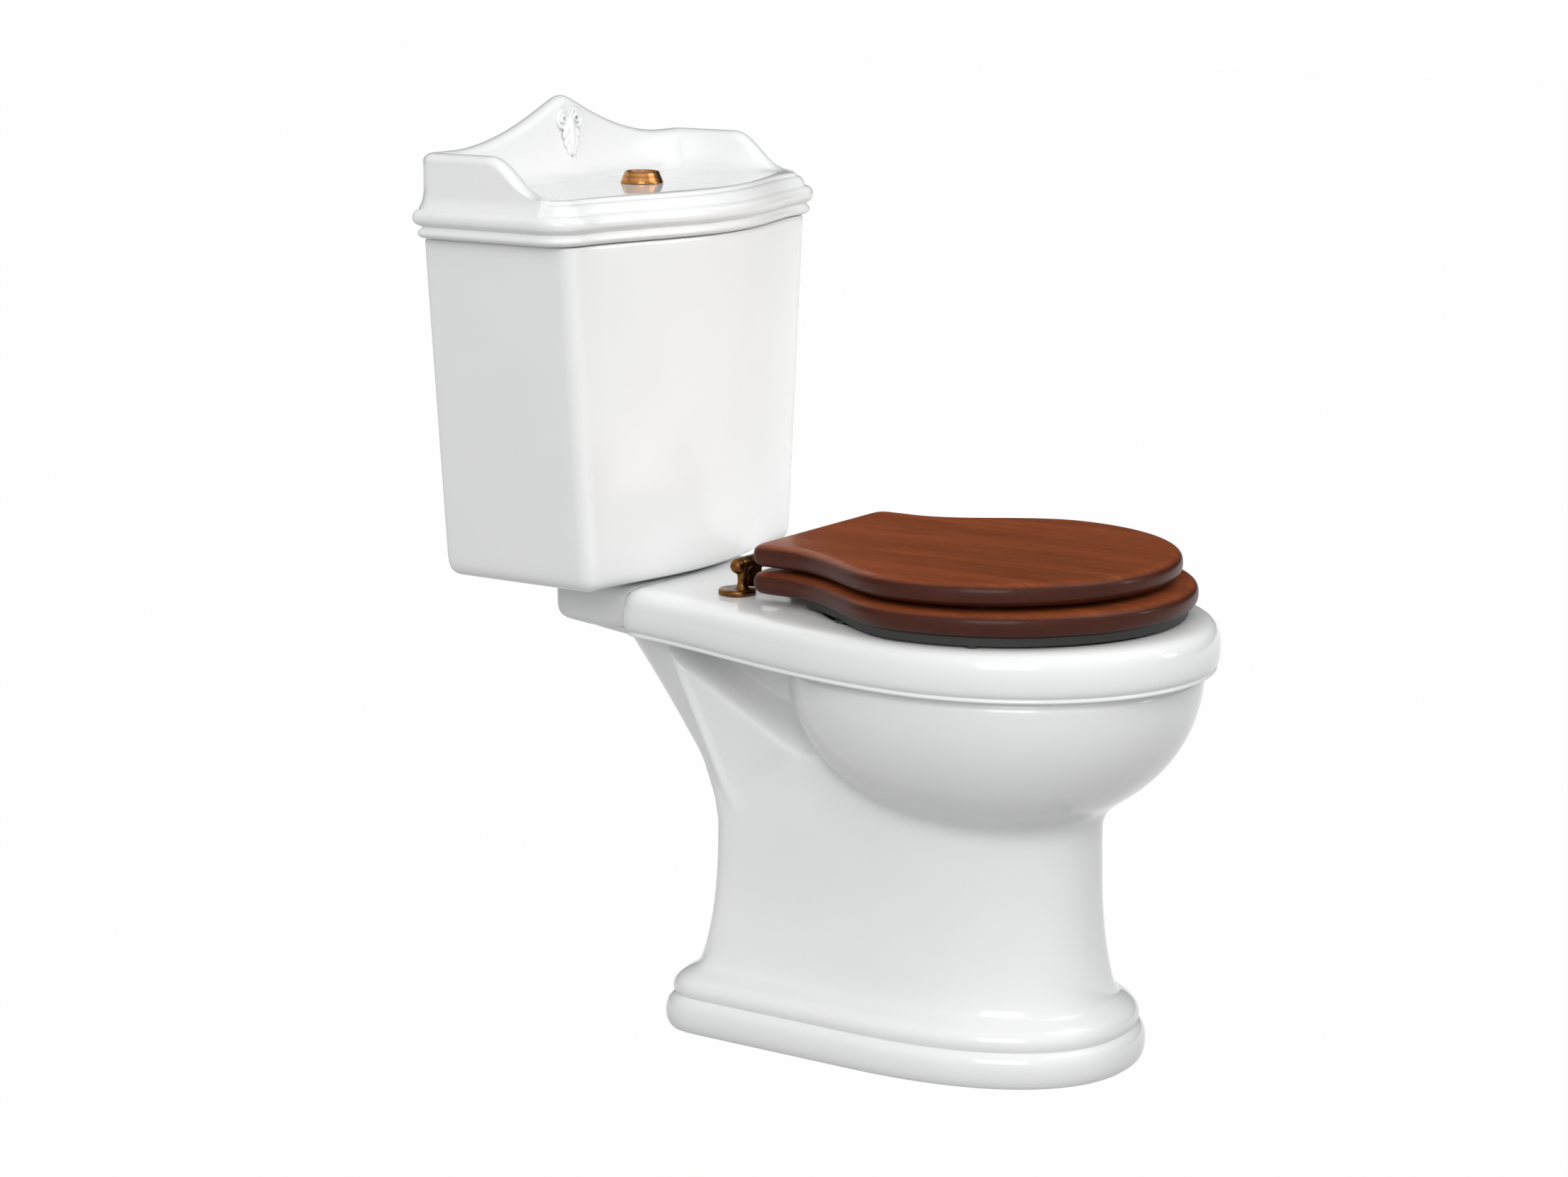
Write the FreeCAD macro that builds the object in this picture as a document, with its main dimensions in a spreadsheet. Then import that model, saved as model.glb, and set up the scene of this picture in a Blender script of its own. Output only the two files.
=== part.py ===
import FreeCAD, Part
import math
import os
import Sketcher
from types import SimpleNamespace
from FreeCAD import Rotation, Vector

# A close-coupled toilet in a traditional style, in millimetres.
# The origin is the centre of the floor outlet: +Z is up, -Y is the front and +Y is the wall.

doc = FreeCAD.newDocument("close_coupled_toilet")
sheet = doc.addObject("Spreadsheet::Sheet", "sizes")

DRIVING_SIZES = {
    # Pan: foot and column
    "wall_setback": (330, "outlet centre to the back of the cistern"),
    "ceramic_wall": (13, "thickness of the pan's walls"),
    "column_half_width": (99, "half width of the column at its waist"),
    "column_front": (292, "outlet centre to the front of the column"),
    "column_back": (75, "outlet centre to the back of the column"),
    "waist_height": (205, "height of the column's narrowest place"),
    "foot_reach": (43, "how far the foot stands out from the column"),
    "foot_bead": (33, "height of the lowest bead of the foot"),
    "foot_ogee": (22, "height of the bead above it"),
    "foot_fillet": (7, "height of the small bead under the column"),
    "recess_across": (105, "middle of the side recesses under the shelf, to the middle"),
    "recess_along": (12, "outlet centre to the middle of the side recesses"),
    "recess_reach": (56, "how far the side recesses reach inwards"),
    "recess_length": (92, "half length of the side recesses"),
    "recess_drop": (98, "depth of the side recesses below the shelf"),
    "neck_back": (185, "outlet centre to the back of the neck under the shelf"),
    # Pan: rim, bowl and horn
    "rim_top": (424, "height of the rim"),
    "rim_depth": (46, "height of the rim's band"),
    "rim_round": (15, "roundness of the band's edges"),
    "rim_front": (400, "outlet centre to the front of the rim"),
    "rim_half_width": (190, "half width of the rim at its widest"),
    "bowl_middle": (188, "outlet centre to the widest place of the bowl"),
    "shelf_half_width": (122, "half width of the shelf behind the seat"),
    "shelf_back": (165, "outlet centre to the back of the shelf"),
    "bowl_half_width": (176, "half width of the bowl's outside"),
    "bowl_half_length": (193, "half length of the bowl's outside"),
    "bowl_depth": (152, "depth of the bowl's outside below the rim"),
    "opening_half_width": (140, "half width of the opening in the rim"),
    "opening_half_length": (160, "half length of the opening in the rim"),
    "horn_half_width": (88, "half width of the horn under the cistern"),
    "horn_back": (268, "outlet centre to the back of the horn"),
    "horn_depth": (50, "depth of the horn at its back"),
    "horn_drop": (16, "how much deeper the horn is at its front"),
    "flush_way_half_width": (40, "half width of the water way in the shelf"),
    "flush_way_height": (18, "height of the water way in the shelf"),
    # Pan: trap and outlet
    "trap_bore": (36, "radius of the trap's bore"),
    "trap_wall": (8, "wall of the trap"),
    "trap_dip": (55, "bend radius of the trap's dip"),
    "trap_crest": (48, "bend radius over the trap's crest"),
    "trap_floor": (165, "height of the dip's bend centre"),
    "trap_weir": (205, "height of the crest's bend centre"),
    "socket_bore": (52, "radius of the outlet socket"),
    "socket_depth": (40, "depth of the outlet socket"),
    # Cistern
    "tank_gap": (2, "gap between the shelf and the tank"),
    "tank_height": (331, "height of the tank"),
    "tank_wall": (10, "thickness of the tank's walls"),
    "tank_floor": (12, "thickness of the tank's floor"),
    "tank_half_width_low": (172, "half width of the tank at its floor"),
    "tank_half_width_top": (199, "half width of the tank at its top"),
    "tank_depth": (175, "depth of the tank at its front corners"),
    "tank_bow_low": (20, "bow of the tank's front at its floor"),
    "tank_bow_top": (38, "bow of the tank's front at its top"),
    "tank_corner": (16, "radius of the tank's front corners"),
    "wall_hole_radius": (4, "radius of the wall fixing holes"),
    "wall_hole_spacing": (180, "distance between the wall fixing holes"),
    "wall_hole_drop": (60, "wall fixing holes below the tank's top"),
    "lid_reach": (18, "how far the cistern lid overhangs the tank"),
    "lid_front_reach": (9, "how far the cistern lid overhangs the tank's front"),
    "lid_height": (43, "height of the cistern lid's deck above the tank"),
    "lid_shell": (11, "thickness of the cistern lid"),
    "lid_lip": (9, "depth of the lid's locating lip inside the tank"),
    "gallery_wall": (20, "thickness of the gallery"),
    "gallery_rise": (38, "height of the gallery's wings above the deck"),
    "gallery_peak": (82, "height of the gallery's peak above the deck"),
    "gallery_reach": (130, "half width of the gallery's peak"),
    "wing_length": (82, "length of the gallery's wings"),
    "wing_slope": (58, "length of the wings' sloping ends"),
    # Coupling
    "flush_axis": (218, "outlet centre to the flush valve's axis"),
    "recess_radius": (54, "radius of the gasket's recess in the horn"),
    "recess_depth": (22, "depth of the gasket's recess"),
    "inlet_radius": (34, "radius of the pan's water inlet"),
    "bolt_offset": (66, "cistern bolts to the middle"),
    "bolt_radius": (4, "radius of the cistern bolts"),
    "bolt_tail": (17, "length of bolt below the horn's nut seat"),
    "nut_seat_drop": (26, "rim to the nut seats inside the horn"),
    "nut_pocket": (18, "radius of the nut pockets under the horn"),
    "bolt_head_radius": (9, "radius of the bolt heads"),
    "bolt_head_height": (5, "height of the bolt heads"),
    "washer_radius": (13, "radius of the bolts' washers"),
    "washer_thickness": (3, "thickness of the rubber washers"),
    "plate_thickness": (2.5, "thickness of the plate washers"),
    "wing_nut_radius": (8, "radius of the wing nuts' hubs"),
    "wing_nut_height": (11, "height of the wing nuts"),
    "wing_span": (15, "reach of the wing nuts' wings"),
    "wing_thickness": (3.4, "thickness of the wing nuts' wings"),
    "fit_gap": (0.3, "clearance of loose fits"),
    "bolt_clearance": (1.2, "clearance round bolts and tails"),
    # Flush valve
    "tail_radius": (30, "radius of the flush valve's tail"),
    "tail_wall": (4, "wall of the flush valve's tail"),
    "tail_drop": (34, "length of the tail below the tank"),
    "valve_flange": (43, "radius of the flush valve's flange"),
    "flange_thickness": (5, "thickness of the valves' flanges"),
    "backnut_radius": (42, "radius of the flush valve's back nut"),
    "backnut_height": (12, "height of the flush valve's back nut"),
    "tower_radius": (38, "radius of the valve tower"),
    "tower_wall": (3, "wall of the valve tower"),
    "tower_height": (150, "height of the valve tower"),
    "tower_window": (44, "height of the tower's windows"),
    "stem_radius": (15, "radius of the lifting stem"),
    "stem_wall": (2, "wall of the lifting stem"),
    "stem_rise": (46, "length of the stem above the tower"),
    "seal_thickness": (4, "thickness of the flush seal"),
    "seal_radius": (32, "radius of the flush seal"),
    "rocker_arm": (13, "length of each arm of the rockers"),
    "rocker_pivot": (30, "rocker pivots to the valve's axis"),
    "rocker_height": (14, "rocker pivots above the tower"),
    "rocker_width": (8, "width of the rockers"),
    "rocker_thickness": (5, "thickness of the rockers"),
    "pin_radius": (1.5, "radius of the small pivot pins"),
    "pin_clearance": (0.05, "running clearance of pins"),
    # Push button
    "button_turn": (36, "turn of the push button, in degrees"),
    "bezel_base": (21, "radius of the button bezel's foot"),
    "bezel_top": (16.5, "radius of the button bezel's top"),
    "bezel_height": (12, "height of the button bezel"),
    "key_radius": (14, "radius of the push keys"),
    "key_gap": (3, "gap between the push keys"),
    "key_height": (7, "height of the push keys"),
    "key_travel": (6, "travel of the push keys"),
    "shank_radius": (15.5, "radius of the button's shank"),
    "shank_length": (46, "length of the button's shank below the deck"),
    "shank_bore": (12.5, "radius of the shank's bore"),
    "button_nut_radius": (24, "radius of the button's nut"),
    "button_nut_height": (9, "height of the button's nut"),
    "plunger_radius": (2.5, "radius of the keys' plungers"),
    "plunger_offset": (7, "plungers to the button's axis"),
    "spring_radius": (4.4, "radius of the key springs"),
    "spring_wall": (0.8, "wire of the key springs"),
    "rod_radius": (3, "radius of the push rods"),
    # Fill valve
    "fill_across": (112, "fill valve to the middle"),
    "fill_axis": (250, "outlet centre to the fill valve's axis"),
    "inlet_tail_radius": (10.3, "radius of the water inlet's tail"),
    "inlet_tail_bore": (6.5, "radius of the water inlet's bore"),
    "inlet_tail_drop": (44, "length of the inlet tail below the tank"),
    "inlet_nut_radius": (17, "radius of the fill valve's back nut"),
    "inlet_nut_height": (9, "height of the fill valve's back nut"),
    "riser_radius": (13, "radius of the fill valve's riser"),
    "riser_height": (200, "height of the fill valve's riser"),
    "head_radius": (21, "radius of the fill valve's head"),
    "head_height": (26, "height of the fill valve's head"),
    "float_radius": (36, "radius of the float cup"),
    "float_height": (84, "height of the float cup"),
    "float_wall": (2.5, "wall of the float cup"),
    "float_rest": (30, "float cup above the fill valve's flange at rest"),
    "float_travel": (15, "travel of the float cup"),
    "lever_length": (40, "length of the float lever"),
    "lever_width": (7, "width of the float lever"),
    "lever_thickness": (5, "thickness of the float lever"),
    # Seat
    "seat_lift": (10, "gap between the rim and the seat ring"),
    "ring_thickness": (22, "thickness of the seat ring"),
    "ring_half_width": (183, "half width of the seat ring"),
    "ring_front": (375, "outlet centre to the front of the seat ring"),
    "ring_hole_half_width": (106, "half width of the seat's opening"),
    "ring_hole_half_length": (132, "half length of the seat's opening"),
    "lid_gap": (4, "gap between the seat ring and its lid"),
    "cover_thickness": (22, "thickness of the seat lid"),
    "cover_half_width": (176, "half width of the seat lid"),
    "cover_front": (358, "outlet centre to the front of the seat lid"),
    "seat_middle": (185, "outlet centre to the widest place of the seat"),
    "seat_neck_half_width": (113, "half width of the seat at its hinge end"),
    "seat_neck_run": (38, "length of the seat's straight hinge end"),
    "seat_back": (16, "outlet centre to the back of the seat"),
    "wood_round": (10, "roundness of the seat's edges"),
    "strip_inset": (9, "rubber strip to the edge of the seat ring"),
    "strip_width": (16, "width of the rubber strip"),
    "strip_height": (7.5, "height of the rubber strip"),
    "strip_end": (45, "outlet centre to the ends of the rubber strip"),
    "buffer_radius": (7, "radius of the rubber feet and buffers"),
    # Hinge
    "hinge_half_spacing": (77.5, "hinge studs to the middle"),
    "hinge_axis_back": (47, "outlet centre to the hinge axis"),
    "hinge_axis_height": (29, "hinge axis above the rim"),
    "post_base_radius": (18, "radius of the hinge posts' discs"),
    "post_base_height": (6, "height of the hinge posts' discs"),
    "post_offset": (6, "disc centre behind the hinge axis"),
    "post_neck_radius": (4.5, "radius of the hinge posts' necks"),
    "barrel_radius": (7.5, "radius of the hinge barrels"),
    "barrel_length": (14, "length of the hinge barrels"),
    "hinge_pin_radius": (3.4, "radius of the hinge pins"),
    "leaf_width": (14, "width of the hinge leaves"),
    "leaf_thickness": (2.6, "thickness of the hinge leaves"),
    "leaf_length": (46, "length of the hinge leaves under the wood"),
    "leaf_gap": (0.6, "side gap between hinge knuckles"),
    "screw_radius": (2, "radius of the leaf screws"),
    "screw_length": (13, "length of the leaf screws"),
    "screw_head_radius": (3.6, "radius of the leaf screws' heads"),
    "screw_head_height": (1.4, "height of the leaf screws' heads"),
    "stud_radius": (4, "radius of the hinge studs"),
    "stud_length": (62, "length of the hinge studs below the rim"),
}

for row, (alias, (value, meaning)) in enumerate(DRIVING_SIZES.items(), 1):
    sheet.set(f"A{row}", meaning)
    sheet.set(f"B{row}", str(value))
    sheet.setAlias(f"B{row}", alias)
doc.recompute()


class Size:
    """A length, with the spreadsheet expression that gives it and its value now."""

    def __init__(self, text, value):
        self.text = text
        self.value = value

    def joined(self, sign, other, value):
        return Size(f"({self.text} {sign} {as_size(other).text})", value)

    def __add__(self, other):
        return self.joined("+", other, self.value + float(other))

    def __radd__(self, other):
        return as_size(other) + self

    def __sub__(self, other):
        return self.joined("-", other, self.value - float(other))

    def __rsub__(self, other):
        return as_size(other) - self

    def __mul__(self, other):
        return self.joined("*", other, self.value * float(other))

    def __rmul__(self, other):
        return as_size(other) * self

    def __truediv__(self, other):
        return self.joined("/", other, self.value / float(other))

    def __neg__(self):
        return as_size(0) - self

    def __float__(self):
        return self.value


def as_size(value):
    return value if isinstance(value, Size) else Size(repr(float(value)), float(value))


s = SimpleNamespace(**{alias: Size(f"sizes.{alias}", float(sheet.get(alias))) for alias in DRIVING_SIZES})

# Heights and places that several pieces share
rim_bottom = s.rim_top - s.rim_depth
tank_under = s.rim_top + s.tank_gap
tank_inside = tank_under + s.tank_floor
tank_top = tank_under + s.tank_height
deck = tank_top + s.lid_height
flange_low = tank_inside + s.washer_thickness
flange_top = flange_low + s.flange_thickness
ring_low = s.rim_top + s.seat_lift
ring_top = ring_low + s.ring_thickness
cover_low = ring_top + s.lid_gap
hinge_height = s.rim_top + s.hinge_axis_height
OVERLAP = 1.0
SIDES = (-1, 1)
nodes = []


def node(label, obj):
    obj.Label = label
    nodes.append(obj)
    return obj


def bind(obj, prop, value):
    obj.setExpression(prop, as_size(value).text)


def place(obj, x, y, z, rotation=None):
    if rotation is not None:
        obj.Placement = FreeCAD.Placement(Vector(), rotation)
    for axis, value in zip("xyz", (x, y, z)):
        bind(obj, f"Placement.Base.{axis}", value)
    return obj


ALONG = {"X": Rotation(Vector(0, 1, 0), 90), "Y": Rotation(Vector(1, 0, 0), -90), "Z": None}


def cylinder(name, radius, height, x, y, z, along="Z"):
    obj = doc.addObject("Part::Cylinder", name)
    bind(obj, "Radius", radius)
    bind(obj, "Height", height)
    return place(obj, x, y, z, ALONG[along])


def box(name, length, width, height, x, y, z):
    """A block whose low corner is at x, y, z."""
    obj = doc.addObject("Part::Box", name)
    bind(obj, "Length", length)
    bind(obj, "Width", width)
    bind(obj, "Height", height)
    return place(obj, x, y, z)


def ball(name, radius, x, y, z):
    obj = doc.addObject("Part::Sphere", name)
    bind(obj, "Radius", radius)
    return place(obj, x, y, z)


def fuse(name, *shapes):
    obj = doc.addObject("Part::MultiFuse", name)
    obj.Shapes = list(shapes)
    return obj


def cut(name, base, *tools):
    obj = doc.addObject("Part::Cut", name)
    obj.Base = base
    obj.Tool = tools[0] if len(tools) == 1 else fuse(f"{name}_tools", *tools)
    return obj


def common(name, base, tool):
    obj = doc.addObject("Part::Common", name)
    obj.Base = base
    obj.Tool = tool
    return obj


def group(name, *shapes):
    obj = doc.addObject("Part::Compound", name)
    obj.Links = list(shapes)
    return obj


def tube(name, outer, inner, height, x, y, z):
    return cut(
        name,
        cylinder(f"{name}_outside", outer, height, x, y, z),
        cylinder(f"{name}_bore", inner, height + 2 * OVERLAP, x, y, z - OVERLAP),
    )


def feature(name, shape):
    obj = doc.addObject("Part::Feature", name)
    obj.Shape = shape
    return obj


def turned(name, profile, x=0, y=0):
    """A turned piece: a closed profile of (radius, height) corners spun about the upright axis."""
    body = doc.addObject("PartDesign::Body", name)
    sketch = body.newObject("Sketcher::SketchObject", f"{name}_profile")
    plane = next(part for part in body.Origin.OriginFeatures if part.Role == "XZ_Plane")
    sketch.AttachmentSupport = [(plane, "")]
    sketch.MapMode = "FlatFace"
    corners = [Vector(float(radius), float(height), 0) for radius, height in profile]
    for start, end in zip(corners, corners[1:] + corners[:1]):
        sketch.addGeometry(Part.LineSegment(start, end), False)
    for index in range(len(corners)):
        following = (index + 1) % len(corners)
        sketch.addConstraint(Sketcher.Constraint("Coincident", index, 2, following, 1))
    for index, (radius, height) in enumerate(profile):
        if float(radius) == 0:
            sketch.addConstraint(Sketcher.Constraint("PointOnObject", index, 1, -2))
        else:
            hold(sketch, "DistanceX", index, radius)
        hold(sketch, "DistanceY", index, height)
    spin = body.newObject("PartDesign::Revolution", f"{name}_spin")
    spin.Profile = sketch
    spin.ReferenceAxis = (sketch, ["V_Axis"])
    spin.Angle = 360
    return place(body, x, y, 0)


def hold(sketch, kind, index, value):
    number = sketch.addConstraint(Sketcher.Constraint(kind, -1, 1, index, 1, float(value)))
    bind(sketch, f"Constraints[{number}]", value)


def on_flush_axis(name, obj):
    """Moves a piece made about the origin to the flush valve's axis, turned with the button."""
    moved = group(name, obj)
    moved.Placement = FreeCAD.Placement(Vector(), Rotation(Vector(0, 0, 1), 1))
    bind(moved, "Placement.Rotation.Angle", s.button_turn)
    bind(moved, "Placement.Base.y", s.flush_axis)
    return moved


# Outlines in plan, for cast and carved forms

def signed_power(value, power):
    return math.copysign(abs(value) ** power, value)


def closed_curve(points):
    curve = Part.BSplineCurve()
    curve.interpolate(points, PeriodicFlag=True)
    return Part.Wire(curve.toShape())


def oval(half_width, front, back, middle, height, front_power=2.3, back_power=7.0, count=48):
    """An oval that is rounder at its front than at its back."""
    points = []
    for index in range(count):
        turn = 2 * math.pi * index / count
        across, along = math.cos(turn), math.sin(turn)
        power = back_power if along > 0 else front_power
        run = back - middle if along > 0 else middle - front
        points.append(Vector(
            half_width * signed_power(across, 2 / power),
            middle + run * signed_power(along, 2 / power),
            height,
        ))
    return closed_curve(points)


def waist_half_width(y, plan):
    """Half width of a waisted outline at y: a straight hinge end, a long S, then an oval nose."""
    if y <= plan.middle:
        share = min(1.0, (plan.middle - y) / (plan.middle - plan.front))
        return plan.belly * math.sqrt(max(0.0, 1 - share ** 2))
    share = min(1.0, max(0.0, (plan.back - plan.run - y) / (plan.back - plan.run - plan.middle)))
    return plan.neck + (plan.belly - plan.neck) * math.sin(share * math.pi / 2) ** plan.sweep


def waisted(plan, inset, height, corner=12.0, count=18):
    """A wire with a straight back, small back corners and one curve round the two sides and the nose."""
    neck = plan.neck - inset
    back = plan.back - inset
    grown = SimpleNamespace(**vars(plan))
    grown.back, grown.front = back, plan.front + inset
    grown.neck, grown.belly = neck, plan.belly - inset
    side = []
    for index in range(count + 1):
        y = back - corner + (plan.middle - back + corner) * index / count
        side.append((waist_half_width(y, grown), y))
    for index in range(1, count):
        turn = math.pi / 2 * index / count
        y = plan.middle - (plan.middle - grown.front) * math.sin(turn)
        side.append((waist_half_width(y, grown), y))
    right = [Vector(x, y, height) for x, y in side]
    left = [Vector(-x, y, height) for x, y in reversed(side)]
    curve = Part.BSplineCurve()
    curve.interpolate(right + [Vector(0, grown.front, height)] + left)
    back_right = Vector(neck - corner, back, height)
    back_left = Vector(corner - neck, back, height)
    slant = corner * (1 - math.sqrt(0.5))
    right_arc = Part.Arc(back_right, Vector(neck - slant, back - slant, height), right[0])
    left_arc = Part.Arc(left[-1], Vector(slant - neck, back - slant, height), back_left)
    return Part.Wire([
        right_arc.toShape(),
        curve.toShape(),
        left_arc.toShape(),
        Part.makeLine(back_left, back_right),
    ])


def rounded_slab(wire_at, low, high, low_round, high_round, steps=4):
    """A slab between two heights whose edges are rounded: wire_at(inset, height) gives its outline."""
    wires = []
    for index in range(steps + 1):
        turn = math.pi / 2 * index / steps
        wires.append(wire_at(low_round * (1 - math.sin(turn)), low + low_round * (1 - math.cos(turn))))
    for index in range(steps + 1):
        turn = math.pi / 2 * index / steps
        wires.append(wire_at(high_round * (1 - math.cos(turn)), high - high_round * (1 - math.sin(turn))))
    return Part.makeLoft(wires, True, True)


def bow_front(half_width, back, depth, bow, corner, inset, height, count=16):
    """A cistern's plan: straight back and sides, rounded corners and a front that swells in a slow S."""
    half = half_width - inset
    rear = back - inset
    front = back - depth + inset
    round_front = max(2.0, corner - inset)
    round_back = 3.0
    flat = half - round_front
    swell = []
    for index in range(count + 1):
        share = 1 - 2 * index / count
        lift = bow * (0.5 + 0.5 * math.cos(math.pi * share)) ** 0.8
        swell.append(Vector(flat * share, front - lift, height))
    curve = Part.BSplineCurve()
    curve.interpolate(swell)

    def corner_arc(start, end, centre_x, centre_y, radius):
        out = Vector(centre_x, centre_y, height)
        middle = (start + end) * 0.5 - out
        middle.normalize()
        return Part.Arc(start, out + middle * radius, end).toShape()

    side = half
    rear_right = Vector(side - round_back, rear, height)
    right_rear = Vector(side, rear - round_back, height)
    right_front = Vector(side, front + round_front, height)
    left_front = Vector(-side, front + round_front, height)
    left_rear = Vector(-side, rear - round_back, height)
    rear_left = Vector(round_back - side, rear, height)
    return Part.Wire([
        corner_arc(rear_right, right_rear, side - round_back, rear - round_back, round_back),
        Part.makeLine(right_rear, right_front),
        corner_arc(right_front, swell[0], flat, front + round_front, round_front),
        curve.toShape(),
        corner_arc(swell[-1], left_front, -flat, front + round_front, round_front),
        Part.makeLine(left_front, left_rear),
        corner_arc(left_rear, rear_left, round_back - side, rear - round_back, round_back),
        Part.makeLine(rear_left, rear_right),
    ])


# Pan: a hollow casting of foot, column, neck, bowl, rim and horn, with its trap inside

def half_round(low, high, root, swell, steps=6):
    return [
        (low + (high - low) * index / steps, root + swell * math.sin(math.pi * index / steps))
        for index in range(steps + 1)
    ]


def pedestal_level(height, reach, slim=0.0):
    """The pedestal's outline at a height, reach beyond the column's own face, and slimmer towards the shelf."""
    waist, top = float(s.waist_height), float(rim_bottom)
    share = min(1.0, max(0.0, (height - waist) / (top - waist)))
    lean = math.sin(math.pi / 2 * share ** 1.2) ** 2
    back = float(s.column_back) + (float(s.neck_back) - float(s.column_back)) * lean
    front = -float(s.column_front)
    middle = (front + float(s.column_back)) / 2
    half = float(s.column_half_width) - slim * share
    return oval(half + reach, front - reach, back + reach, middle, height)


def pedestal():
    bead = float(s.foot_bead)
    ogee = bead + float(s.foot_ogee)
    column = ogee + float(s.foot_fillet)
    reach = float(s.foot_reach)
    groove = 1.5
    levels = half_round(0, bead, reach * 0.8, reach * 0.2)
    levels += half_round(bead + groove, ogee, reach * 0.62, reach * 0.22)
    levels += half_round(ogee + groove, column, reach * 0.3, reach * 0.08, 3)
    waist = float(s.waist_height)
    flare = reach * 0.3
    for index in range(5):
        share = index / 4
        levels.append((column + groove + (waist - column - groove) * share, flare * (1 - share) ** 2.4))
    top = float(rim_bottom) + OVERLAP
    for index in range(1, 7):
        levels.append((waist + (top - waist) * index / 6, 0.0))
    return Part.makeLoft([pedestal_level(height, out) for height, out in levels], True, True)


def pedestal_hollow():
    wall = float(s.ceramic_wall)
    reach = float(s.foot_reach)
    mouldings = float(s.foot_bead + s.foot_ogee + s.foot_fillet)
    waist = float(s.waist_height)
    top = float(rim_bottom) - 3 * wall
    levels = [(-OVERLAP, reach * 0.8 - wall), (mouldings * 0.7, reach * 0.62 - wall)]
    levels += [(mouldings + wall, -wall), (waist, -wall)]
    levels += [(waist + (top - waist) * share, -wall) for share in (0.35, 0.7, 1.0)]
    slim = float(s.column_half_width - s.recess_across + s.recess_reach) + wall / 2
    return Part.makeLoft([pedestal_level(height, out, slim) for height, out in levels], True, True)


rim_plan = SimpleNamespace(
    back=float(s.shelf_back),
    front=-float(s.rim_front),
    middle=-float(s.bowl_middle),
    neck=float(s.shelf_half_width),
    belly=float(s.rim_half_width),
    run=0.0,
    sweep=1.5,
)


def trapway(radius, start):
    """A tube down from the bowl, round the dip, over the crest and down to the floor."""
    dip, crest = float(s.trap_dip), float(s.trap_crest)
    inlet = -2 * (dip + crest)
    rise = -2 * crest
    low, high = float(s.trap_floor), float(s.trap_weir)
    top = Vector(0, inlet, start)
    down = Vector(0, inlet, low)
    up = Vector(0, rise, low)
    over = Vector(0, rise, high)
    fall = Vector(0, 0, high)
    path = Part.Wire([
        Part.makeLine(top, down),
        Part.Arc(down, Vector(0, inlet + dip, low - dip), up).toShape(),
        Part.makeLine(up, over),
        Part.Arc(over, Vector(0, rise + crest, high + crest), fall).toShape(),
        Part.makeLine(fall, Vector(0, 0, 0)),
    ])
    ring = Part.Wire(Part.makeCircle(radius, top, Vector(0, 0, -1)))
    return path.makePipeShell([ring], True, False)


def horn():
    """The lug behind the shelf that carries the cistern."""
    top, back = float(s.rim_top), float(s.horn_back)
    front = float(s.shelf_back) - 2 * float(s.rim_round)
    depth, drop = float(s.horn_depth), float(s.horn_drop)
    half = float(s.horn_half_width)
    corners = [
        Vector(-half, front, top),
        Vector(-half, front, top - depth - drop),
        Vector(-half, back - drop, top - depth),
        Vector(-half, back, top - depth + drop),
        Vector(-half, back, top),
    ]
    face = Part.Face(Part.makePolygon(corners + corners[:1]))
    return face.extrude(Vector(2 * half, 0, 0))


def bowl(name, margin, lift):
    """The lower half of an ellipsoid under the rim; margin is taken off each half axis."""
    obj = doc.addObject("Part::Ellipsoid", name)
    bind(obj, "Radius1", s.bowl_depth - margin)
    bind(obj, "Radius2", s.bowl_half_width - margin)
    bind(obj, "Radius3", s.bowl_half_length - margin)
    obj.Angle1, obj.Angle2, obj.Angle3 = -90, 0, 360
    return place(obj, 0, -s.bowl_middle, rim_bottom + lift)


bowl_outside = bowl("bowl_outside", 0, OVERLAP)
bowl_inside = bowl("bowl_inside", s.ceramic_wall, OVERLAP)
trap_start = float(rim_bottom - s.bowl_depth * 0.55)
rim_slab = rounded_slab(
    lambda inset, height: waisted(rim_plan, inset, height, corner=26.0),
    float(rim_bottom), float(s.rim_top), float(s.rim_round), float(s.rim_round),
)
opening_wire = oval(
    float(s.opening_half_width),
    -float(s.bowl_middle + s.opening_half_length),
    -float(s.bowl_middle - s.opening_half_length),
    -float(s.bowl_middle),
    float(rim_bottom) - OVERLAP,
    2.2, 2.2,
)
opening = Part.Face(opening_wire).extrude(Vector(0, 0, float(s.rim_depth) + 2 * OVERLAP))


def side_recess(side):
    obj = doc.addObject("Part::Ellipsoid", "side_recess")
    bind(obj, "Radius1", s.recess_drop)
    bind(obj, "Radius2", s.recess_reach)
    bind(obj, "Radius3", s.recess_length)
    obj.Angle1, obj.Angle2, obj.Angle3 = -90, 0, 360
    return place(obj, side * s.recess_across, s.recess_along, rim_bottom)


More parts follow.
